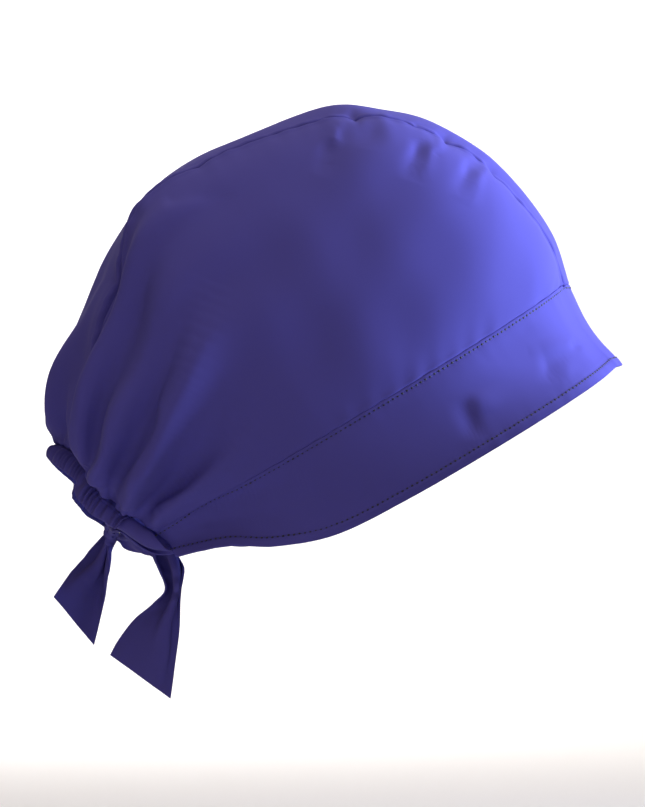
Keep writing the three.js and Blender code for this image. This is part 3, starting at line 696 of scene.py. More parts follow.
def side_panel(shape, seed, creased):
    """The right side panel's outer face as a grid, from the band up to the strip and from forehead to casing."""
    along, gather = np.meshgrid(crowded(PANEL_COLUMNS, EDGE_PLACES), crowded(PANEL_ROWS, EDGE_PLACES))
    base = side_point(along, gather, shape)
    creases = creased * along_creases(base, PANEL_CREASES) * shape.crease_share
    base = lifted(base, HEAD_CENTRE, creases)
    climb, run = arc_lengths(base, 0), arc_lengths(base, 1)
    to_strip, to_casing = climb[-1:] - climb, run[:, -1:] - run
    flat = np.stack([run, climb], -1)
    wrinkle, seam = shape.wrinkle_height / METRES, shape.seam_depth / METRES
    soft = wrinkle * ripples(base, SOFT_WRINKLE, seed) * smooth(np.minimum(climb, to_strip), 0, 14)
    quilting = np.stack([run[-1:] + 0 * climb, 0.2 * to_strip], -1)
    drawn = 0.75 * wrinkle * ripples(quilting, SEAM_WRINKLE, seed + 1) * np.exp(-to_strip / 9)
    stitched = np.stack([run[:1] + 0 * climb, 0.3 * climb], -1)
    drawn += 0.35 * wrinkle * ripples(stitched, SEAM_WRINKLE, seed + 2) * np.exp(-climb / 6)
    place = np.clip((gather - CASING_START) / (1 - CASING_START), 0, 1) * CASING_PANEL_SHARE
    pleats = ruching(place, seed) * smooth(gather, CASING_START - 0.1, CASING_START) * np.exp(-to_casing / 5)
    relief = soft + drawn + shape.ruche_height / METRES * pleats
    relief += seam_roll(climb, 0.12 * seam, 0.8, 0.1 * seam)
    relief += seam_roll(to_strip, 1.3 * seam, SEAM_ROLL, 0.5 * seam)
    relief += seam_roll(to_casing, 0.8 * seam, SEAM_ROLL, 0.25 * seam)
    # Paler stripes on the raised lips beside the strip and band seams, partly abrasion and partly painted highlight.
    wear_and_highlight = np.exp(-(((to_strip - 2) / 1.5) ** 2)) + 0.5 * np.exp(-(((climb - 2) / 1.5) ** 2))
    # Painted shade: darker in the seams, in the creases' valleys and at the puckers' points.
    sunk = np.exp(-to_strip / 1.2) + 0.1 * np.exp(-climb / 0.5) + 0.8 * np.exp(-to_casing / 1.2)
    sunk += VALLEY_SHADE * smooth(-creases, 0.3, 2.4) + 0.35 * pucker(along, 1 - rise_of(along, gather), 1.0)
    return lifted(base, HEAD_CENTRE, relief), flat, wear_and_highlight, sunk


def ruching(place, seed):
    """Gathers along the casing, a little uneven in their spacing and height."""
    rng = np.random.default_rng(seed)
    shift = 0.35 * np.sin(2 * np.pi * 5.3 * place + rng.uniform(0, 6)) + 0.3 * np.sin(2 * np.pi * 9.1 * place)
    height = 0.75 + 0.25 * np.cos(2 * np.pi * 17.7 * place + rng.uniform(0, 6))
    return height * np.cos(2 * np.pi * RUCHES * place + 2 * np.pi * shift)


def crown_strip(shape):
    """The crown strip's outer face, from its right seam to its left one and from forehead to casing."""
    along, share = np.meshgrid(crowded(STRIP_COLUMNS, EDGE_PLACES), crowded(STRIP_ROWS, EDGE_PLACES))
    across = 2 * share - 1
    base = strip_point(along, across, shape.pucker_depth / METRES)
    climb, run = arc_lengths(base, 0), arc_lengths(base, 1)
    to_left, to_casing = climb[-1:] - climb, run[:, -1:] - run
    wrinkle, seam = shape.wrinkle_height / METRES, shape.seam_depth / METRES
    edge = np.minimum(climb, to_left)
    soft = wrinkle * ripples(base, SOFT_WRINKLE, 31) * smooth(edge, 0, 10)
    quilting = np.stack([run, 0.2 * climb], -1)
    drawn = 0.7 * wrinkle * ripples(quilting, SEAM_WRINKLE, 32) * np.exp(-edge / 8)
    pouch = shape.fold_depth / METRES * 0.35 * smooth(along, 0.7, 0.97) * (1 - smooth(along, 0.97, 1))
    folds = pouch * ripples(np.stack([0.25 * run, climb], -1), 17, 33)
    place = CASING_PANEL_SHARE + share * (1 - 2 * CASING_PANEL_SHARE)
    pleats = ruching(place, 7) * np.exp(-to_casing / 5)
    relief = soft + drawn + folds + shape.ruche_height / METRES * pleats
    relief += seam_roll(edge, 1.3 * seam, SEAM_ROLL, 0.7 * seam)
    relief += seam_roll(to_casing, 0.8 * seam, SEAM_ROLL, 0.25 * seam)
    relief += seam_roll(run, 0.35 * seam, 0.8, 0.1 * seam)
    # Paler stripes on the raised lips beside both seams, partly abrasion and partly painted highlight.
    wear_and_highlight = np.exp(-(((edge - 2) / 1.5) ** 2))
    # Painted shade: darker in the seams, at the casing and at the band.
    sunk = np.exp(-edge / 0.9) + 0.8 * np.exp(-to_casing / 1.2) + 0.3 * np.exp(-run / 0.5)
    return lifted(base, HEAD_CENTRE, relief), np.stack([run, climb], -1), wear_and_highlight, sunk


def front_band(shape):
    """The band's outer face, from its seam down to its hem and from its left rear end round to the right one."""
    depth = shape.pucker_depth / METRES
    along = crowded(BAND_COLUMNS, EDGE_PLACES)
    right = side_point(along, 0.0, shape)
    front = strip_point(0.0, np.linspace(1, -1, BAND_FRONT_COLUMNS), depth)[1:-1]
    seam = np.concatenate([mirrored(right)[::-1], front, right])
    edge = crown_row(along, "edge")
    back = np.concatenate([edge[::-1], np.zeros(len(front)), edge])
    run = unit(smeared(np.gradient(seam, axis=0)))
    lean = np.radians(between(BAND, "back", "lean", back))
    down = points(np.sin(lean), 0.0, -np.cos(lean))
    out = unit(np.cross(run, down))
    out = np.where(np.sum(out * (seam - HEAD_CENTRE), -1, keepdims=True) < 0, -out, out)
    drop = crowded(BAND_ROWS, BAND_EDGE_PLACES)[:, None]
    flare, hollow, lip, deep = (between(BAND, "back", c, back) for c in ("flare", "hollow", "lip", "depth"))
    bow = flare * drop**2 - hollow * np.sin(np.pi * drop) + lip * drop**4
    base = seam + down * (BAND_DEPTH * deep * drop)[..., None] + out * (BAND_DEPTH * bow)[..., None]
    creases = along_creases(base, BAND_CREASES) * shape.crease_share
    base = lifted(base, HEAD_CENTRE, creases)
    climb, length = arc_lengths(base, 0), arc_lengths(base, 1)
    to_hem = climb[-1:] - climb
    wrinkle, crease = shape.wrinkle_height / METRES, shape.seam_depth / METRES
    soft = 0.7 * wrinkle * ripples(base, SOFT_WRINKLE, 41) * smooth(np.minimum(climb, to_hem), 0, 9)
    sewn = np.stack([length[:1] + 0 * climb, 0.3 * climb], -1)
    drawn = 0.25 * wrinkle * ripples(sewn, SEAM_WRINKLE * 0.7, 42) * np.exp(-climb / 5)
    drawn += 0.25 * wrinkle * ripples(sewn, SEAM_WRINKLE, 43) * np.exp(-to_hem / 7)
    beat = np.cos(2 * np.pi * length[:1] / STITCH_PITCH)
    groove = (-0.22 - 0.1 * beat) * np.exp(-(((climb - TOPSTITCH_INSET) / 0.6) ** 2))
    hem = shape.hem_height / METRES
    folded = hem * smooth(HEM_WIDTH - to_hem, -0.6, 0.6)
    folded -= (0.25 + 0.08 * beat) * np.exp(-(((to_hem - HEM_WIDTH) / 0.7) ** 2))
    curled = -0.7 * np.clip(1 - to_hem / HEM_WIDTH, 0, 1)
    relief = soft + drawn + groove + folded + curled + seam_roll(climb, 0.12 * crease, 0.8, 0.15 * crease)
    # Paler at the hem's fold from abrasion, and on the lip between seam and topstitch as painted highlight.
    wear_and_highlight = np.exp(-to_hem / 1.0) + 0.8 * np.exp(-(((climb - 0.9) / 0.5) ** 2))
    # Painted shade: darker at the seam, across the folded hem and in the creases' valleys.
    sunk = 0.1 * np.exp(-climb / 0.4) + 0.4 * smooth(HEM_WIDTH - to_hem, -0.3, 1.2)
    sunk += VALLEY_SHADE * smooth(-creases, 0.3, 2.4)
    return lifted(base, HEAD_CENTRE, relief), np.stack([length, climb], -1), wear_and_highlight, sunk


def smeared(vectors, reach=9):
    """Each vector averaged with its neighbours, to round a corner."""
    kernel = np.hanning(2 * reach + 1)
    kernel /= kernel.sum()
    padded = np.pad(vectors, ((reach, reach), (0, 0)), mode="edge")
    return np.stack([np.convolve(padded[:, k], kernel, mode="valid") for k in range(vectors.shape[1])], -1)


def casing_seam(place, shape):
    """The casing's seam with the panels and the strip, from its right end round the back to its left one."""
    right = np.where(place > 0.5, 1 - place, place)
    t = right / CASING_PANEL_SHARE
    on_panel = side_point(1.0, CASING_START + (1 - CASING_START) * np.clip(t, 0, 1), shape)
    across = -1 + (right - CASING_PANEL_SHARE) / (0.5 - CASING_PANEL_SHARE)
    on_strip = strip_point(1.0, np.clip(across, -1, 0), shape.pucker_depth / METRES)
    seam = np.where((t < 1)[:, None], on_panel, on_strip)
    return np.where((place > 0.5)[:, None], mirrored(seam), seam)


def back_casing(shape):
    """The ruched casing's outer face, from its seam to its lower edge."""
    place = np.linspace(0, 1, CASING_COLUMNS)
    seam = casing_seam(place, shape)
    calm = smeared(seam, 30)
    run = unit(smeared(smeared(np.gradient(seam, axis=0), 60), 30))
    way = np.array([-math.sin(CASING_LEAN), 0.0, -math.cos(CASING_LEAN)])
    out = unit(np.cross(run, way))
    out = np.where(np.sum(out * (calm - np.array([0, 0, -CROWN_HEIGHT])), -1, keepdims=True) < 0, -out, out)
    from_end = smooth(np.minimum(place, 1 - place), 0, 0.14)
    depth = CASING_DEPTH * (0.72 + 0.34 * from_end) * (1 - 0.35 * np.sin(np.pi * place) ** 4)
    rows = np.concatenate([CASING_TUCK_PLACES, np.linspace(0, 1, CASING_ROWS)])[:, None]
    drop = np.maximum(rows, 0)
    tucked = depth * np.minimum(rows, 0)
    height = shape.ruche_height / METRES
    slant = place + 0.004 * np.sin(2 * np.pi * 3.7 * place) * drop
    gathers = height * ruching(slant, 7) * np.sin(np.pi * (0.12 + 0.8 * drop)) ** 0.7
    elastic = 1.3 * np.sin(np.pi * drop) ** 0.8 - 0.5 * np.exp(-(((drop - 0.16) / 0.06) ** 2))
    scallop = 0.12 * ruching(slant, 7) * drop**3
    settled = seam + (calm - seam) * smooth(drop, 0, 0.35)[..., None]
    base = settled + way * (depth * drop + tucked + scallop)[..., None] + out * (elastic + gathers)[..., None]
    base -= out * (CASING_TUCK * smooth(-rows, 0, 0.1) + 0 * depth)[..., None]
    base += out * (seam_roll(depth * drop, 0.9, 1.1, 0.0))[..., None]
    climb, length = arc_lengths(base, 0), arc_lengths(base, 1)
    # Painted light on the gathers: paler on their crests, painted highlight, and darker in their valleys and along the
    # seam, painted shade.
    wear_and_highlight = 0.5 + 0.5 * ruching(slant, 7)
    sunk = 0.45 - 0.45 * ruching(slant, 7) + np.exp(-depth * drop / 0.9)
    return base, np.stack([length, climb], -1), wear_and_highlight, sunk


def tie_start(shape):
    """The middle of the band's right rear end."""
    outer = front_band(shape)[0]
    return (outer[0, -1] + outer[-1, -1]) / 2


def pleat_angle(share):
    """How far a cloth's cross-section swings from side to side when it is gathered to this share of its width."""
    swing = np.linspace(0, 2.2, 80)
    kept = np.cos(swing[:, None] * np.sin(np.linspace(0, 2 * np.pi, 64, endpoint=False))).mean(1)
    return np.interp(-share, -kept, swing)


def tie(rows, folds, start, seed):
    """A tie as a folded sheet: its cross-section keeps the cloth's width and is gathered where the tie is narrow."""
    t = np.linspace(0, 1, TIE_COLUMNS_COUNT)
    at = {c: between(rows, "along", c, t) for c in TIE_COLUMNS.split()[1:]}
    centre = points(
        start[0] - TIE_LENGTH * at["back"],
        start[1] * (1 - 2 * at["over"]),
        start[2] - TIE_LENGTH * at["down"],
    )
    run = unit(smeared(np.gradient(centre, axis=0), 5))
    slant, turn = np.radians(at["slant"]), np.radians(at["turn"])
    across = unit(points(np.cos(slant) * np.cos(turn), np.sin(turn), -np.sin(slant)))
    through = unit(np.cross(across, run))
    s = np.linspace(-1, 1, TIE_ROWS)[:, None]
    swing = pleat_angle(np.clip(at["width"], 0.12, 0.999))
    count, depth = between(TIE_GATHERS, "along", "count", t), between(TIE_GATHERS, "along", "depth", t)
    uneven = 0.25 * np.sin(4.1 * t + 2.3 * s + seed) + 0.12 * s * s
    angle = swing * np.sin(np.pi * (count * s + uneven + 0.1 * seed))
    for place, bend, first, last, sharp in zip(*(folds[c] for c in ("place", "bend", "first", "last", "sharp"))):
        shown = smooth(t, first, first + 0.12) * (1 - smooth(t, last, last + 0.05))
        angle = angle + math.radians(bend) * shown * smooth(s - place, -sharp, sharp)
    step = TIE_WIDTH / (TIE_ROWS - 1)
    level, height = np.cumsum(np.cos(angle) * step, axis=0), np.cumsum(np.sin(angle) * step, axis=0) * depth
    half = TIE_WIDTH / 2 * at["width"]
    level = level - (level[:1] + level[-1:]) / 2
    level = level * half / np.maximum((level.max(0) - level.min(0)) / 2, 1e-6)
    height -= height.mean(0, keepdims=True)
    crumple = at["bunch"] * ripples(np.stack([t * TIE_LENGTH + 0 * s, 0.35 * s * TIE_WIDTH / 2 + 0 * t], -1), 6, seed)
    middle = centre + across * level[..., None] + through * (height + 0.45 * crumple)[..., None]
    flat = np.stack([t * TIE_LENGTH + 0 * s, (s + 1) * TIE_WIDTH / 2 + 0 * t], -1)
    wear_and_highlight = np.exp(-((1 - np.abs(s)) * TIE_WIDTH / 2 / 1.2)) + 0 * t
    return middle, flat, wear_and_highlight


# Folds of a tie: where each lies across it, how far it bends in degrees, and from where to where along the tie.
FOLD_COLUMNS = "place bend first last sharp"
LEFT_TAIL_FOLDS = table(
    FOLD_COLUMNS,
    (-0.1, -30, 0.6, 1.1, 0.16),
    (0.72, 24, 0.66, 1.1, 0.08),
)
RIGHT_TAIL_FOLDS = table(
    FOLD_COLUMNS,
    (0.4, -30, 0.76, 1.1, 0.08),
)


def finish_value(node, name, value):
    node.inputs[name].default_value = value


def woven(name, colour, settings, weave_turn=0.0):
    """Plain-woven cloth: threads over and under, a faint slub, soft blotches, fuzz, a paler mark that is partly
    abrasion and partly painted highlight, and painted shade from the sunk mark.
    """
    material = bpy.data.materials.new(name)
    material.use_nodes = True
    tree = material.node_tree
    tree.nodes.clear()
    nodes, links = tree.nodes, tree.links

    def node(kind, **values):
        made = nodes.new(kind)
        for key, value in values.items():
            setattr(made, key, value)
        return made

    def math_node(operation, first, second=None, clamp=False):
        made = node("ShaderNodeMath", operation=operation, use_clamp=clamp)
        for socket, value in zip(made.inputs, (first, second)):
            if isinstance(value, (int, float)):
                socket.default_value = value
            elif value is not None:
                links.new(value, socket)
        return made.outputs[0]

    place = node("ShaderNodeUVMap", uv_map="Cloth")
    turned = node("ShaderNodeMapping")
    finish_value(turned, "Rotation", (0.0, 0.0, weave_turn))
    links.new(place.outputs["UV"], turned.inputs["Vector"])
    split = node("ShaderNodeSeparateXYZ")
    links.new(turned.outputs["Vector"], split.inputs[0])
    threads = math.pi / settings.weave_pitch
    warp = math_node("SINE", math_node("MULTIPLY", split.outputs["X"], threads))
    weft = math_node("SINE", math_node("MULTIPLY", split.outputs["Y"], threads))
    crossing = math_node("MULTIPLY", warp, weft)

    def noise(scale, detail, roughness, source):
        made = node("ShaderNodeTexNoise")
        finish_value(made, "Scale", scale)
        finish_value(made, "Detail", detail)
        finish_value(made, "Roughness", roughness)
        links.new(source, made.inputs["Vector"])
        return made.outputs["Fac"]

    slub_place = node("ShaderNodeMapping")
    finish_value(slub_place, "Scale", (0.18, 1.0, 1.0))
    links.new(turned.outputs["Vector"], slub_place.inputs["Vector"])
    slub = noise(900.0, 2.0, 0.5, slub_place.outputs["Vector"])
    solid = node("ShaderNodeTexCoord")
    blotch = noise(26.0, 3.0, 0.55, solid.outputs["Object"])
    fuzz = noise(1400.0, 2.0, 0.6, solid.outputs["Object"])

    tone = node("ShaderNodeMapRange")
    finish_value(tone, "To Min", 0.88)
    finish_value(tone, "To Max", 1.12)
    links.new(blotch, tone.inputs["Value"])
    grain = math_node("MULTIPLY_ADD", slub, 0.16)
    grain.node.inputs[2].default_value = 0.92
    thread_tone = math_node("MULTIPLY_ADD", crossing, 0.05)
    thread_tone.node.inputs[2].default_value = 1.0
    shade = math_node("MULTIPLY", math_node("MULTIPLY", tone.outputs["Result"], grain), thread_tone)

    # Painted shade: the sunk mark darkens the colour in seams, crease valleys, puckers and the casing's gathers.
    seam = node("ShaderNodeAttribute", attribute_name="sunk")
    painted_shade = math_node("MULTIPLY_ADD", seam.outputs["Fac"], -settings.seam_shade, clamp=True)
    painted_shade.node.inputs[2].default_value = 1.0
    shade = math_node("MULTIPLY", shade, painted_shade)

    base = node("ShaderNodeMix", data_type="RGBA", blend_type="MULTIPLY")
    finish_value(base, "Factor", 1.0)
    base.inputs[6].default_value = (*colour, 1.0)
    links.new(shade, base.inputs[7])
    # Paler colour where the vertex mark is set, partly abrasion and partly painted highlight on raised lips and gather
    # crests.
    wear_and_highlight_share = node("ShaderNodeAttribute", attribute_name="wear_and_highlight")
    rubbed_and_highlighted = node("ShaderNodeMix", data_type="RGBA")
    rubbed_and_highlighted.inputs[7].default_value = (*settings.wear_and_highlight_colour, 1.0)
    links.new(base.outputs[2], rubbed_and_highlighted.inputs[6])
    patchy = math_node("MULTIPLY", wear_and_highlight_share.outputs["Fac"], blotch)
    links.new(math_node("MULTIPLY", patchy, settings.wear_and_highlight_share), rubbed_and_highlighted.inputs["Factor"])

    height = math_node("MULTIPLY_ADD", crossing, 0.5)
    links.new(math_node("ADD", math_node("MULTIPLY", slub, 0.9), math_node("MULTIPLY", fuzz, 0.5)), height.node.inputs[2])
    bump = node("ShaderNodeBump")
    finish_value(bump, "Strength", 0.55)
    finish_value(bump, "Distance", settings.weave_height)
    links.new(height, bump.inputs["Height"])

    shader = node("ShaderNodeBsdfPrincipled")
    links.new(rubbed_and_highlighted.outputs[2], shader.inputs["Base Color"])
    links.new(bump.outputs["Normal"], shader.inputs["Normal"])
    rough = node("ShaderNodeMapRange")
    finish_value(rough, "To Min", 0.7)
    finish_value(rough, "To Max", 0.86)
    links.new(slub, rough.inputs["Value"])
    links.new(rough.outputs["Result"], shader.inputs["Roughness"])
    finish_value(shader, "Specular IOR Level", 0.02)
    finish_value(shader, "Sheen Weight", settings.sheen)
    finish_value(shader, "Sheen Roughness", 0.45)
    finish_value(shader, "Sheen Tint", (0.35, 0.35, 1.0, 1.0))
    output = node("ShaderNodeOutputMaterial")
    links.new(shader.outputs[0], output.inputs["Surface"])
    return material


def thread_finish(name, colour):
    """Twisted sewing thread."""
    material = bpy.data.materials.new(name)
    material.use_nodes = True
    nodes, links = material.node_tree.nodes, material.node_tree.links
    shader = nodes["Principled BSDF"]
    place = nodes.new("ShaderNodeTexCoord")
    twist = nodes.new("ShaderNodeTexWave")
    finish_value(twist, "Scale", 900.0)
    finish_value(twist, "Distortion", 2.0)
    links.new(place.outputs["Object"], twist.inputs["Vector"])
    ramp = nodes.new("ShaderNodeMix")
    ramp.data_type = "RGBA"
    ramp.inputs[6].default_value = (*[c * 0.8 for c in colour], 1.0)
    ramp.inputs[7].default_value = (*[c * 1.15 for c in colour], 1.0)
    links.new(twist.outputs["Fac"], ramp.inputs["Factor"])
    links.new(ramp.outputs[2], shader.inputs["Base Color"])
    bump = nodes.new("ShaderNodeBump")
    finish_value(bump, "Strength", 0.4)
    finish_value(bump, "Distance", 0.00008)
    links.new(twist.outputs["Fac"], bump.inputs["Height"])
    links.new(bump.outputs["Normal"], shader.inputs["Normal"])
    finish_value(shader, "Roughness", 0.6)
    finish_value(shader, "Sheen Weight", 0.2)
    return material


def finish_of(slot):
    return bpy.data.materials[slot]


def stitch_tree(thread_material, hole_shadow_material):
    """Geometry Nodes that lay stitches end to end along a line whose points carry the cloth's outward direction."""
    tree = bpy.data.node_groups.new("Row of stitches", "GeometryNodeTree")
    face = tree.interface
    face.new_socket("Line", in_out="INPUT", socket_type="NodeSocketGeometry")
    for name in ("Pitch", "Stitch length", "Thread radius", "Rise", "Hole shadow radius"):
        face.new_socket(name, in_out="INPUT", socket_type="NodeSocketFloat")
    face.new_socket("Seed", in_out="INPUT", socket_type="NodeSocketInt")
    face.new_socket("Stitches", in_out="OUTPUT", socket_type="NodeSocketGeometry")
    nodes, links = tree.nodes, tree.links

    def node(kind, **values):
        made = nodes.new(kind)
        for key, value in values.items():
            setattr(made, key, value)
        return made

    def times(socket, factor):
        made = node("ShaderNodeMath", operation="MULTIPLY")
        made.inputs[1].default_value = factor
        links.new(socket, made.inputs[0])
        return made.outputs[0]

    def vector(**sockets):
        made = node("ShaderNodeCombineXYZ")
        for axis, socket in sockets.items():
            links.new(socket, made.inputs[axis])
        return made.outputs[0]

    given, result = node("NodeGroupInput"), node("NodeGroupOutput")
    to_curve = node("GeometryNodeMeshToCurve")
    links.new(given.outputs["Line"], to_curve.inputs["Mesh"])
    spaced = node("GeometryNodeResampleCurve", mode="LENGTH")
    links.new(to_curve.outputs["Curve"], spaced.inputs["Curve"])
    links.new(given.outputs["Pitch"], spaced.inputs["Length"])

    sunk = times(given.outputs["Thread radius"], -1.2)
    arc = node("GeometryNodeCurveQuadraticBezier")
    arc.inputs["Resolution"].default_value = 6
    links.new(vector(X=times(given.outputs["Stitch length"], -0.5), Z=sunk), arc.inputs["Start"])
    links.new(vector(Z=given.outputs["Rise"]), arc.inputs["Middle"])
    links.new(vector(X=times(given.outputs["Stitch length"], 0.5), Z=sunk), arc.inputs["End"])
    ring = node("GeometryNodeCurvePrimitiveCircle")
    ring.inputs["Resolution"].default_value = 6
    links.new(given.outputs["Thread radius"], ring.inputs["Radius"])
    thread = node("GeometryNodeCurveToMesh")
    thread.inputs["Fill Caps"].default_value = True
    links.new(arc.outputs["Curve"], thread.inputs["Curve"])
    links.new(ring.outputs["Curve"], thread.inputs["Profile Curve"])
    sewn = node("GeometryNodeSetMaterial")
    sewn.inputs["Material"].default_value = thread_material
    links.new(thread.outputs["Mesh"], sewn.inputs["Geometry"])

    # A flattened near-black bead between stitches, painted as the shadow in the needle's puncture.
    bead = node("GeometryNodeMeshIcoSphere")
    bead.inputs["Subdivisions"].default_value = 2
    links.new(given.outputs["Hole shadow radius"], bead.inputs["Radius"])
    pressed = node("GeometryNodeTransform")
    pressed.inputs["Scale"].default_value = (1.0, 0.8, 0.5)
    links.new(bead.outputs["Mesh"], pressed.inputs["Geometry"])
    links.new(vector(X=times(given.outputs["Pitch"], 0.5), Z=times(sunk, 0.3)), pressed.inputs["Translation"])
    hole_shadow = node("GeometryNodeSetMaterial")
    hole_shadow.inputs["Material"].default_value = hole_shadow_material
    links.new(pressed.outputs["Geometry"], hole_shadow.inputs["Geometry"])
    both = node("GeometryNodeJoinGeometry")
    links.new(sewn.outputs["Geometry"], both.inputs[0])
    links.new(hole_shadow.outputs["Geometry"], both.inputs[0])

    outward = node("GeometryNodeInputNamedAttribute", data_type="FLOAT_VECTOR")
    outward.inputs["Name"].default_value = "outward"
    tangent = node("GeometryNodeInputTangent")
    axes = node("FunctionNodeAxesToRotation", primary_axis="X", secondary_axis="Z")
    links.new(tangent.outputs["Tangent"], axes.inputs["Primary Axis"])
    links.new(outward.outputs["Attribute"], axes.inputs["Secondary Axis"])
    sway = node("FunctionNodeRandomValue", data_type="FLOAT_VECTOR")
    sway.inputs[0].default_value = (-0.05, -0.03, -0.08)
    sway.inputs[1].default_value = (0.05, 0.03, 0.08)
    links.new(given.outputs["Seed"], sway.inputs["Seed"])
    turned = node("FunctionNodeRotateRotation", rotation_space="LOCAL")
    links.new(axes.outputs["Rotation"], turned.inputs["Rotation"])
    links.new(sway.outputs[0], turned.inputs["Rotate By"])
    laid = node("GeometryNodeInstanceOnPoints")
    links.new(spaced.outputs["Curve"], laid.inputs["Points"])
    links.new(both.outputs["Geometry"], laid.inputs["Instance"])
    links.new(turned.outputs["Rotation"], laid.inputs["Rotation"])
    real = node("GeometryNodeRealizeInstances")
    links.new(laid.outputs["Instances"], real.inputs["Geometry"])
    links.new(real.outputs["Geometry"], result.inputs["Stitches"])
    return tree


def stitch_row(name, lines, outs, settings, tree):
    """A piece of stitches along lines in millimetres, with the outward direction at each of their points."""
    mesh = bpy.data.meshes.new(name)
    edges, start = [], 0
    for line in lines:
        edges += [(start + k, start + k + 1) for k in range(len(line) - 1)]
        start += len(line)
    mesh.from_pydata((np.concatenate(lines) * METRES).tolist(), edges, [])
    outward = mesh.attributes.new("outward", "FLOAT_VECTOR", "POINT")
    outward.data.foreach_set("vector", np.concatenate(outs).astype(np.float32).ravel())
    path = bpy.data.objects.new(name + "_path", mesh)
    bpy.context.scene.collection.objects.link(path)
    modifier = path.modifiers.new("Stitches", "NODES")
    modifier.node_group = tree
    sockets = {item.name: item.identifier for item in tree.interface.items_tree if item.in_out == "INPUT"}
    modifier[sockets["Pitch"]] = settings.pitch
    modifier[sockets["Stitch length"]] = settings.length
    modifier[sockets["Thread radius"]] = settings.thread / 2
    modifier[sockets["Rise"]] = settings.rise
    modifier[sockets["Hole shadow radius"]] = settings.hole_shadow / 2
    modifier[sockets["Seed"]] = settings.seed
    bpy.context.view_layer.update()
    graph = bpy.context.evaluated_depsgraph_get()
    made = bpy.data.meshes.new_from_object(path.evaluated_get(graph), depsgraph=graph)
    bpy.data.objects.remove(path)
    made.name = name
    made.polygons.foreach_set("use_smooth", [True] * len(made.polygons))
    row = bpy.data.objects.new(name, made)
    bpy.context.scene.collection.objects.link(row)
    return row


def line_at(grid, distance, inside, from_last=False):
    """A line on a grid's columns at this distance from its first or last row, with the outward directions."""
    facings = facing(grid, inside)
    if from_last:
        grid, facings = grid[::-1], facings[::-1]
    climb = arc_lengths(grid, 0)
    line, outs = [], []
    for column in range(grid.shape[1]):
        if climb[-1, column] < 2 * distance:
            continue
        line.append([np.interp(distance, climb[:, column], grid[:, column, k]) for k in range(3)])
        outs.append([np.interp(distance, climb[:, column], facings[:, column, k]) for k in range(3)])
    return np.array(line), unit(np.array(outs))


class ScrubCapCloth(bpy.types.PropertyGroup):
    """The cloth's colours and weave."""

    colour: bpy.props.FloatVectorProperty(
        name="Cloth", description="Colour of the cloth", subtype="COLOR", default=(0.027, 0.033, 0.78)
    )
    casing_colour: bpy.props.FloatVectorProperty(
        name="Casing", description="Colour of the ruched casing", subtype="COLOR", default=(0.02, 0.023, 0.42)
    )
    # The ties' colour is darkened below the cloth's own, as painted shade for the shadow under the cap.
    tie_painted_shade_colour: bpy.props.FloatVectorProperty(
        name="Ties", description="Colour of the ties", subtype="COLOR", default=(0.01, 0.012, 0.19)
    )
    # Colour of the paler mark, partly abrasion and partly painted highlight.
    wear_and_highlight_colour: bpy.props.FloatVectorProperty(
        name="Worn edges", description="Colour where the cloth is rubbed", subtype="COLOR", default=(0.06, 0.07, 0.85)
    )
    thread_colour: bpy.props.FloatVectorProperty(
        name="Thread", description="Colour of the sewing thread", subtype="COLOR", default=(0.03, 0.03, 0.3)
    )
    # Near-black colour painted as the shadow in the needle's punctures.
    hole_shadow_colour: bpy.props.FloatVectorProperty(
        name="Needle hole", description="Colour inside a needle hole", subtype="COLOR", default=(0.006, 0.005, 0.04)
    )
    weave_pitch: bpy.props.FloatProperty(
        name="Weave pitch", description="Distance from thread to thread", default=0.0004, unit="LENGTH"
    )
    weave_height: bpy.props.FloatProperty(
        name="Weave height", description="Depth of the weave's relief", default=0.00012, unit="LENGTH"
    )
    sheen: bpy.props.FloatProperty(
        name="Sheen", description="Share of soft light from the cloth's fuzz", default=0.03, subtype="FACTOR"
    )
    # Strength of the painted shade from the sunk mark, in seams, crease valleys, puckers and gathers.
    seam_shade: bpy.props.FloatProperty(
        name="Seam shade", description="How far the cloth darkens inside its seams", default=0.8, subtype="FACTOR"
    )
    # Share of the paler mark, for abrasion and painted highlight alike.
    wear_and_highlight_share: bpy.props.FloatProperty(
        name="Wear", description="How far rubbed edges turn paler", default=0.45, subtype="FACTOR"
    )


class ScrubCapShape(bpy.types.PropertyGroup):
    """How deep the folds, dents and seams are."""

    cloth_thickness: bpy.props.FloatProperty(
        name="Cloth thickness", description="Thickness of a single layer", default=0.0007, unit="LENGTH"
    )
    band_thickness: bpy.props.FloatProperty(
        name="Band thickness", description="Thickness of the doubled band", default=0.0013, unit="LENGTH"
    )
    tie_thickness: bpy.props.FloatProperty(
        name="Tie thickness", description="Thickness of a folded tie", default=0.0009, unit="LENGTH"
    )
    fold_depth: bpy.props.FloatProperty(
        name="Fold depth", description="Deepest fold that runs up from the casing", default=0.006, unit="LENGTH"
    )
    pucker_depth: bpy.props.FloatProperty(
        name="Pucker depth", description="Deepest dent along the strip's seams", default=0.0046, unit="LENGTH"
    )
    wrinkle_height: bpy.props.FloatProperty(
        name="Wrinkle height", description="Height of the cloth's soft wrinkles", default=0.0003, unit="LENGTH"
    )
    seam_depth: bpy.props.FloatProperty(
        name="Seam depth", description="How far the cloth turns down into a seam", default=0.0012, unit="LENGTH"
    )
    hem_height: bpy.props.FloatProperty(
        name="Hem height", description="How far the folded hem stands out", default=0.0004, unit="LENGTH"
    )
    ruche_height: bpy.props.FloatProperty(
        name="Ruche height", description="Height of the casing's gathers", default=0.0012, unit="LENGTH"
    )
    crease_share: bpy.props.FloatProperty(
        name="Creases", description="Share of the hand-drawn creases' height", default=1.0, subtype="FACTOR"
    )


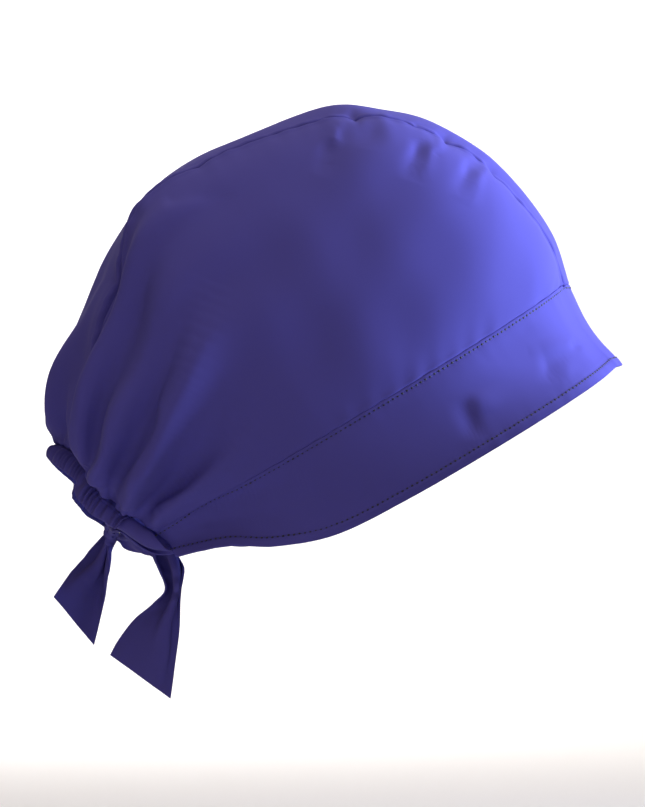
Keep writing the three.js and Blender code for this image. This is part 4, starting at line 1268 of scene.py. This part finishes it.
class ScrubCapStitches(bpy.types.PropertyGroup):
    """The machine stitches."""

    pitch: bpy.props.FloatProperty(
        name="Pitch", description="From one stitch to the next", default=0.0025, unit="LENGTH"
    )
    length: bpy.props.FloatProperty(name="Length", description="Length of a stitch", default=0.0015, unit="LENGTH")
    thread: bpy.props.FloatProperty(name="Thread", description="Thickness of the thread", default=0.00036, unit="LENGTH")
    rise: bpy.props.FloatProperty(name="Rise", description="Height of a stitch's middle", default=0.00025, unit="LENGTH")
    # Width of the near-black bead painted as a puncture's shadow.
    hole_shadow: bpy.props.FloatProperty(name="Hole", description="Width of a needle hole", default=0.0013, unit="LENGTH")
    seed: bpy.props.IntProperty(name="Seed", description="Which way the stitches sway", default=3)


class ScrubCapStage(bpy.types.PropertyGroup):
    """The floor, the light and the camera."""

    floor_height: bpy.props.FloatProperty(
        name="Floor height", description="Height of the floor below the cap", default=-0.46, unit="LENGTH"
    )
    floor_colour: bpy.props.FloatVectorProperty(
        name="Floor", description="Colour of the floor and backdrop", subtype="COLOR", default=(0.86, 0.86, 0.86)
    )
    key_strength: bpy.props.FloatProperty(
        name="Key light", description="Power of the soft light from the front", default=74.0, unit="POWER"
    )
    top_strength: bpy.props.FloatProperty(
        name="Top light", description="Power of the soft light from above", default=12.0, unit="POWER"
    )
    backdrop_strength: bpy.props.FloatProperty(
        name="Backdrop light", description="Power of the light on the backdrop", default=36.0, unit="POWER"
    )
    world_strength: bpy.props.FloatProperty(
        name="Surroundings", description="Brightness of the room's soft light", default=0.47, subtype="FACTOR"
    )
    camera_distance: bpy.props.FloatProperty(
        name="Camera distance", description="From the camera to the cap", default=CAMERA_DISTANCE, unit="LENGTH"
    )
    camera_azimuth: bpy.props.FloatProperty(
        name="Camera azimuth", description="Turn round the cap", default=math.radians(CAMERA_AZIMUTH), subtype="ANGLE"
    )
    camera_elevation: bpy.props.FloatProperty(
        name="Camera elevation", description="Height above the horizon", default=math.radians(CAMERA_ELEVATION), subtype="ANGLE"
    )


def dressed(piece, node, slot):
    """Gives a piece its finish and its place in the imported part."""
    piece.data.materials.clear()
    piece.data.materials.append(finish_of(slot))
    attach(piece, "root")
    if node:
        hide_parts(node)
    return piece


class SCRUBCAP_OT_finishes(bpy.types.Operator):
    """Makes the woven cloths, the ties' one darkened as painted shade, the thread, and a near-black finish painted as
    the shadow in the needle's punctures
    """

    bl_idname = "scrubcap.finishes"
    bl_label = "Cloth finishes"

    def execute(self, context):
        cloth = context.scene.scrubcap_cloth
        woven("panel_cloth", cloth.colour, cloth)
        woven("band_cloth", cloth.colour, cloth)
        woven("casing_cloth", cloth.casing_colour, cloth)
        # The ties' cloth takes the darker colour, painted shade for the shadow under the cap.
        woven("tie_cloth", cloth.tie_painted_shade_colour, cloth)
        thread_finish("sewing_thread", cloth.thread_colour)
        # A near-black copy of the thread finish, painted as the shadow in the needle's punctures.
        thread_finish("needle_hole_shadow", cloth.hole_shadow_colour)
        return {"FINISHED"}


class SCRUBCAP_OT_side_panels(bpy.types.Operator):
    """Makes both side panels with their folds, dents and puckers"""

    bl_idname = "scrubcap.side_panels"
    bl_label = "Side panels"

    def execute(self, context):
        shape = context.scene.scrubcap_shape
        for side, seed, creased in (("right", 11, 1.0), ("left", 23, 0.8)):
            outer, flat, wear_and_highlight, sunk = side_panel(shape, seed, creased)
            if side == "left":
                outer = mirrored(outer)
            name = "panel_cloth_" + side
            piece = shell(name, outer, flat, wear_and_highlight, shape.cloth_thickness / METRES, HEAD_CENTRE, sunk=sunk)
            dressed(piece, "side_panel_" + side, "panel_cloth")
        return {"FINISHED"}


class SCRUBCAP_OT_crown_strip(bpy.types.Operator):
    """Makes the strip over the middle of the crown"""

    bl_idname = "scrubcap.crown_strip"
    bl_label = "Crown strip"

    def execute(self, context):
        shape = context.scene.scrubcap_shape
        outer, flat, wear_and_highlight, sunk = crown_strip(shape)
        piece = shell("strip_cloth", outer, flat, wear_and_highlight, shape.cloth_thickness / METRES, HEAD_CENTRE, sunk=sunk)
        dressed(piece, "crown_strip", "panel_cloth")
        return {"FINISHED"}


class SCRUBCAP_OT_front_band(bpy.types.Operator):
    """Makes the doubled band with its seam, topstitch groove and folded hem"""

    bl_idname = "scrubcap.front_band"
    bl_label = "Front band"

    def execute(self, context):
        shape = context.scene.scrubcap_shape
        outer, flat, wear_and_highlight, sunk = front_band(shape)
        thickness = shape.band_thickness / METRES
        piece = shell("band_cloth_front", outer, flat, wear_and_highlight, thickness, HEAD_CENTRE, round_last=True, sunk=sunk)
        dressed(piece, "front_band", "band_cloth")
        return {"FINISHED"}


class SCRUBCAP_OT_back_casing(bpy.types.Operator):
    """Makes the ruched elastic casing across the nape"""

    bl_idname = "scrubcap.back_casing"
    bl_label = "Back casing"

    def execute(self, context):
        shape = context.scene.scrubcap_shape
        outer, flat, wear_and_highlight, sunk = back_casing(shape)
        inside = np.array([0.0, 0.0, -CROWN_HEIGHT])
        piece = shell("casing_ruched", outer, flat, wear_and_highlight, 1.1, inside, round_last=True, sunk=sunk)
        dressed(piece, "back_casing", "casing_cloth")
        return {"FINISHED"}


class SCRUBCAP_OT_ties(bpy.types.Operator):
    """Makes the two ties as folded sheets that cross below the cap"""

    bl_idname = "scrubcap.ties"
    bl_label = "Ties"

    def execute(self, context):
        shape = context.scene.scrubcap_shape
        start = tie_start(shape)
        thickness = shape.tie_thickness / METRES
        rows = (
            ("tie_right", TIE_TO_LEFT, LEFT_TAIL_FOLDS, 1.0, 3),
            ("tie_left", TIE_TO_RIGHT, RIGHT_TAIL_FOLDS, -1.0, 8),
        )
        for node, route, folds, side, seed in rows:
            middle, flat, wear_and_highlight = tie(route, folds, start, seed)
            if side < 0:
                middle = mirrored(middle)
            beside = middle.mean((0, 1)) + np.array([0.0, 500.0, 0.0])
            outer = lifted(middle, beside, np.full(middle.shape[:2], thickness / 2))
            piece = shell("cloth_" + node, outer, flat, wear_and_highlight, thickness, beside, True, True)
            dressed(piece, node, "tie_cloth")
        return {"FINISHED"}


class SCRUBCAP_OT_stitches(bpy.types.Operator):
    """Sews the band's seam and its hem"""

    bl_idname = "scrubcap.stitches"
    bl_label = "Stitches"

    def execute(self, context):
        scene = context.scene
        shape, settings = scene.scrubcap_shape, scene.scrubcap_stitches
        tree = stitch_tree(finish_of("sewing_thread"), finish_of("needle_hole_shadow"))
        band = front_band(shape)[0]
        rows = {
            "stitches_band_seam": line_at(band, TOPSTITCH_INSET, HEAD_CENTRE),
            "stitches_hem": line_at(band, HEM_WIDTH, HEAD_CENTRE, from_last=True),
        }
        for name, (line, out) in rows.items():
            piece = stitch_row(name, [line], [out], settings, tree)
            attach(piece, "root")
        return {"FINISHED"}


class SCRUBCAP_OT_stage(bpy.types.Operator):
    """Sets the floor, the lights and the camera at the photograph's angle"""

    bl_idname = "scrubcap.stage"
    bl_label = "Stage"

    def execute(self, context):
        stage = context.scene.scrubcap_stage
        make_floor(stage)
        make_lights(stage)
        make_camera(stage)
        context.scene.view_settings.view_transform = "Standard"
        return {"FINISHED"}


def make_floor(stage):
    """A pale floor that sweeps up into a backdrop behind the cap."""
    reach, rise, radius = 4.0, 3.2, 1.2
    profile = [(-reach, 0.0), (reach - radius, 0.0)]
    for degrees in range(10, 91, 10):
        a = math.radians(degrees)
        profile.append((reach - radius + radius * math.sin(a), radius * (1 - math.cos(a))))
    profile.append((reach, rise))
    vertices = [(x, y, stage.floor_height + z) for y, z in profile for x in (-6.0, 6.0)]
    faces = [(2 * k, 2 * k + 1, 2 * k + 3, 2 * k + 2) for k in range(len(profile) - 1)]
    mesh = bpy.data.meshes.new("floor")
    mesh.from_pydata(vertices, [], faces)
    mesh.polygons.foreach_set("use_smooth", [True] * len(faces))
    material = bpy.data.materials.new("pale_floor")
    material.use_nodes = True
    shader = material.node_tree.nodes["Principled BSDF"]
    finish_value(shader, "Base Color", (*stage.floor_colour, 1.0))
    finish_value(shader, "Roughness", 0.9)
    mesh.materials.append(material)
    floor = bpy.data.objects.new("floor", mesh)
    bpy.context.scene.collection.objects.link(floor)


def soft_light(name, power, size, place, target, colour):
    data = bpy.data.lights.new(name, "AREA")
    data.energy, data.size, data.color = power, size, colour
    light = bpy.data.objects.new(name, data)
    light.location = place
    light.rotation_mode = "QUATERNION"
    light.rotation_quaternion = (Vector(target) - Vector(place)).to_track_quat("-Z", "Y")
    bpy.context.scene.collection.objects.link(light)
    return light


def make_lights(stage):
    """A soft key light from the wearer's front, a weak one above, one on the backdrop, and a brighter ceiling."""
    soft_light("key", stage.key_strength, 0.7, (1.7, -0.08, 0.12), (0.0, 0.0, -0.1), (0.6, 0.72, 1.0))
    soft_light("top", stage.top_strength, 1.0, (0.35, -0.15, 1.6), (0.0, 0.0, -0.1), (1.0, 1.0, 1.0))
    make_card()
    soft_light("backdrop", stage.backdrop_strength, 1.2, (0.0, 2.7, 1.3), (0.0, 4.0, 0.1), (1.0, 1.0, 1.0))
    world = bpy.data.worlds.new("room")
    world.use_nodes = True
    background = world.node_tree.nodes["Background"]
    background.inputs["Color"].default_value = (1.0, 0.8, 0.6, 1.0)
    nodes, links = world.node_tree.nodes, world.node_tree.links
    way, toward = nodes.new("ShaderNodeTexCoord"), nodes.new("ShaderNodeVectorMath")
    toward.operation = "DOT_PRODUCT"
    toward.inputs[1].default_value = BRIGHT_SIDE
    links.new(way.outputs["Generated"], toward.inputs[0])
    graded = nodes.new("ShaderNodeMapRange")
    graded.interpolation_type = "SMOOTHSTEP"
    finish_value(graded, "From Min", -0.5)
    finish_value(graded, "From Max", 0.5)
    finish_value(graded, "To Min", 0.2 * stage.world_strength)
    finish_value(graded, "To Max", stage.world_strength)
    links.new(toward.outputs["Value"], graded.inputs["Value"])
    links.new(graded.outputs["Result"], background.inputs["Strength"])
    bpy.context.scene.world = world


def make_card():
    """A dark card beside the light that keeps it off the ties and out of the cap's opening."""
    mesh = bpy.data.meshes.new("card")
    corners = [(CARD_PLACE, y, z) for y, z in ((-0.4, CARD_LOW), (0.4, CARD_LOW), (0.4, CARD_HIGH), (-0.4, CARD_HIGH))]
    mesh.from_pydata(corners, [], [(0, 1, 2, 3)])
    material = bpy.data.materials.new("black_card")
    material.use_nodes = True
    shader = material.node_tree.nodes["Principled BSDF"]
    finish_value(shader, "Base Color", (0.02, 0.02, 0.02, 1.0))
    finish_value(shader, "Roughness", 0.9)
    mesh.materials.append(material)
    card = bpy.data.objects.new("card", mesh)
    card.visible_camera = False
    bpy.context.scene.collection.objects.link(card)


def make_camera(stage):
    """The camera at the photograph's angle, framed as the photograph frames the cap."""
    azimuth, elevation = stage.camera_azimuth, stage.camera_elevation
    back = Vector((
        math.sin(azimuth) * math.cos(elevation),
        -math.cos(azimuth) * math.cos(elevation),
        math.sin(elevation),
    ))
    right = (-back).cross(Vector((0, 0, 1))).normalized()
    up = right.cross(-back)
    eye = Vector(PHOTO_CENTRE) + back * stage.camera_distance
    aim = Vector(PHOTO_CENTRE)
    aim += right * (IMAGE_WIDTH / 2 - PHOTO_CENTRE_PIXEL[0]) * PIXEL_SIZE
    aim -= up * (IMAGE_HEIGHT / 2 - PHOTO_CENTRE_PIXEL[1]) * PIXEL_SIZE
    data = bpy.data.cameras.new("camera")
    data.sensor_width = 36.0
    data.lens = data.sensor_width * stage.camera_distance / (IMAGE_HEIGHT * PIXEL_SIZE)
    data.clip_start, data.clip_end = 0.05, 30.0
    camera = bpy.data.objects.new("camera", data)
    camera.location = eye
    camera.rotation_mode = "QUATERNION"
    camera.rotation_quaternion = (aim - eye).to_track_quat("-Z", "Y")
    bpy.context.scene.collection.objects.link(camera)
    bpy.context.scene.camera = camera


OPERATORS = (
    SCRUBCAP_OT_finishes,
    SCRUBCAP_OT_side_panels,
    SCRUBCAP_OT_crown_strip,
    SCRUBCAP_OT_front_band,
    SCRUBCAP_OT_back_casing,
    SCRUBCAP_OT_ties,
    SCRUBCAP_OT_stitches,
    SCRUBCAP_OT_stage,
)
SETTINGS = {
    "scrubcap_cloth": ScrubCapCloth,
    "scrubcap_shape": ScrubCapShape,
    "scrubcap_stitches": ScrubCapStitches,
    "scrubcap_stage": ScrubCapStage,
}


class SCRUBCAP_PT_panel(bpy.types.Panel):
    """Lists the cap's settings and the steps that make it."""

    bl_idname = "SCRUBCAP_PT_panel"
    bl_label = "Scrub cap"
    bl_space_type = "VIEW_3D"
    bl_region_type = "UI"
    bl_category = "Scrub cap"

    def draw(self, context):
        for name in SETTINGS:
            box = self.layout.box()
            settings = getattr(context.scene, name)
            for field in settings.__annotations__:
                box.prop(settings, field)
        for operator in OPERATORS:
            self.layout.operator(operator.bl_idname)


def register():
    for kind in (*SETTINGS.values(), *OPERATORS, SCRUBCAP_PT_panel):
        bpy.utils.register_class(kind)
    for name, kind in SETTINGS.items():
        setattr(bpy.types.Scene, name, bpy.props.PointerProperty(type=kind))


def unregister():
    for name in SETTINGS:
        delattr(bpy.types.Scene, name)
    for kind in (SCRUBCAP_PT_panel, *reversed(OPERATORS), *SETTINGS.values()):
        bpy.utils.unregister_class(kind)


def main():
    register()
    for operator in OPERATORS:
        group, name = operator.bl_idname.split(".")
        getattr(getattr(bpy.ops, group), name)()


if __name__ == "__main__":
    main()
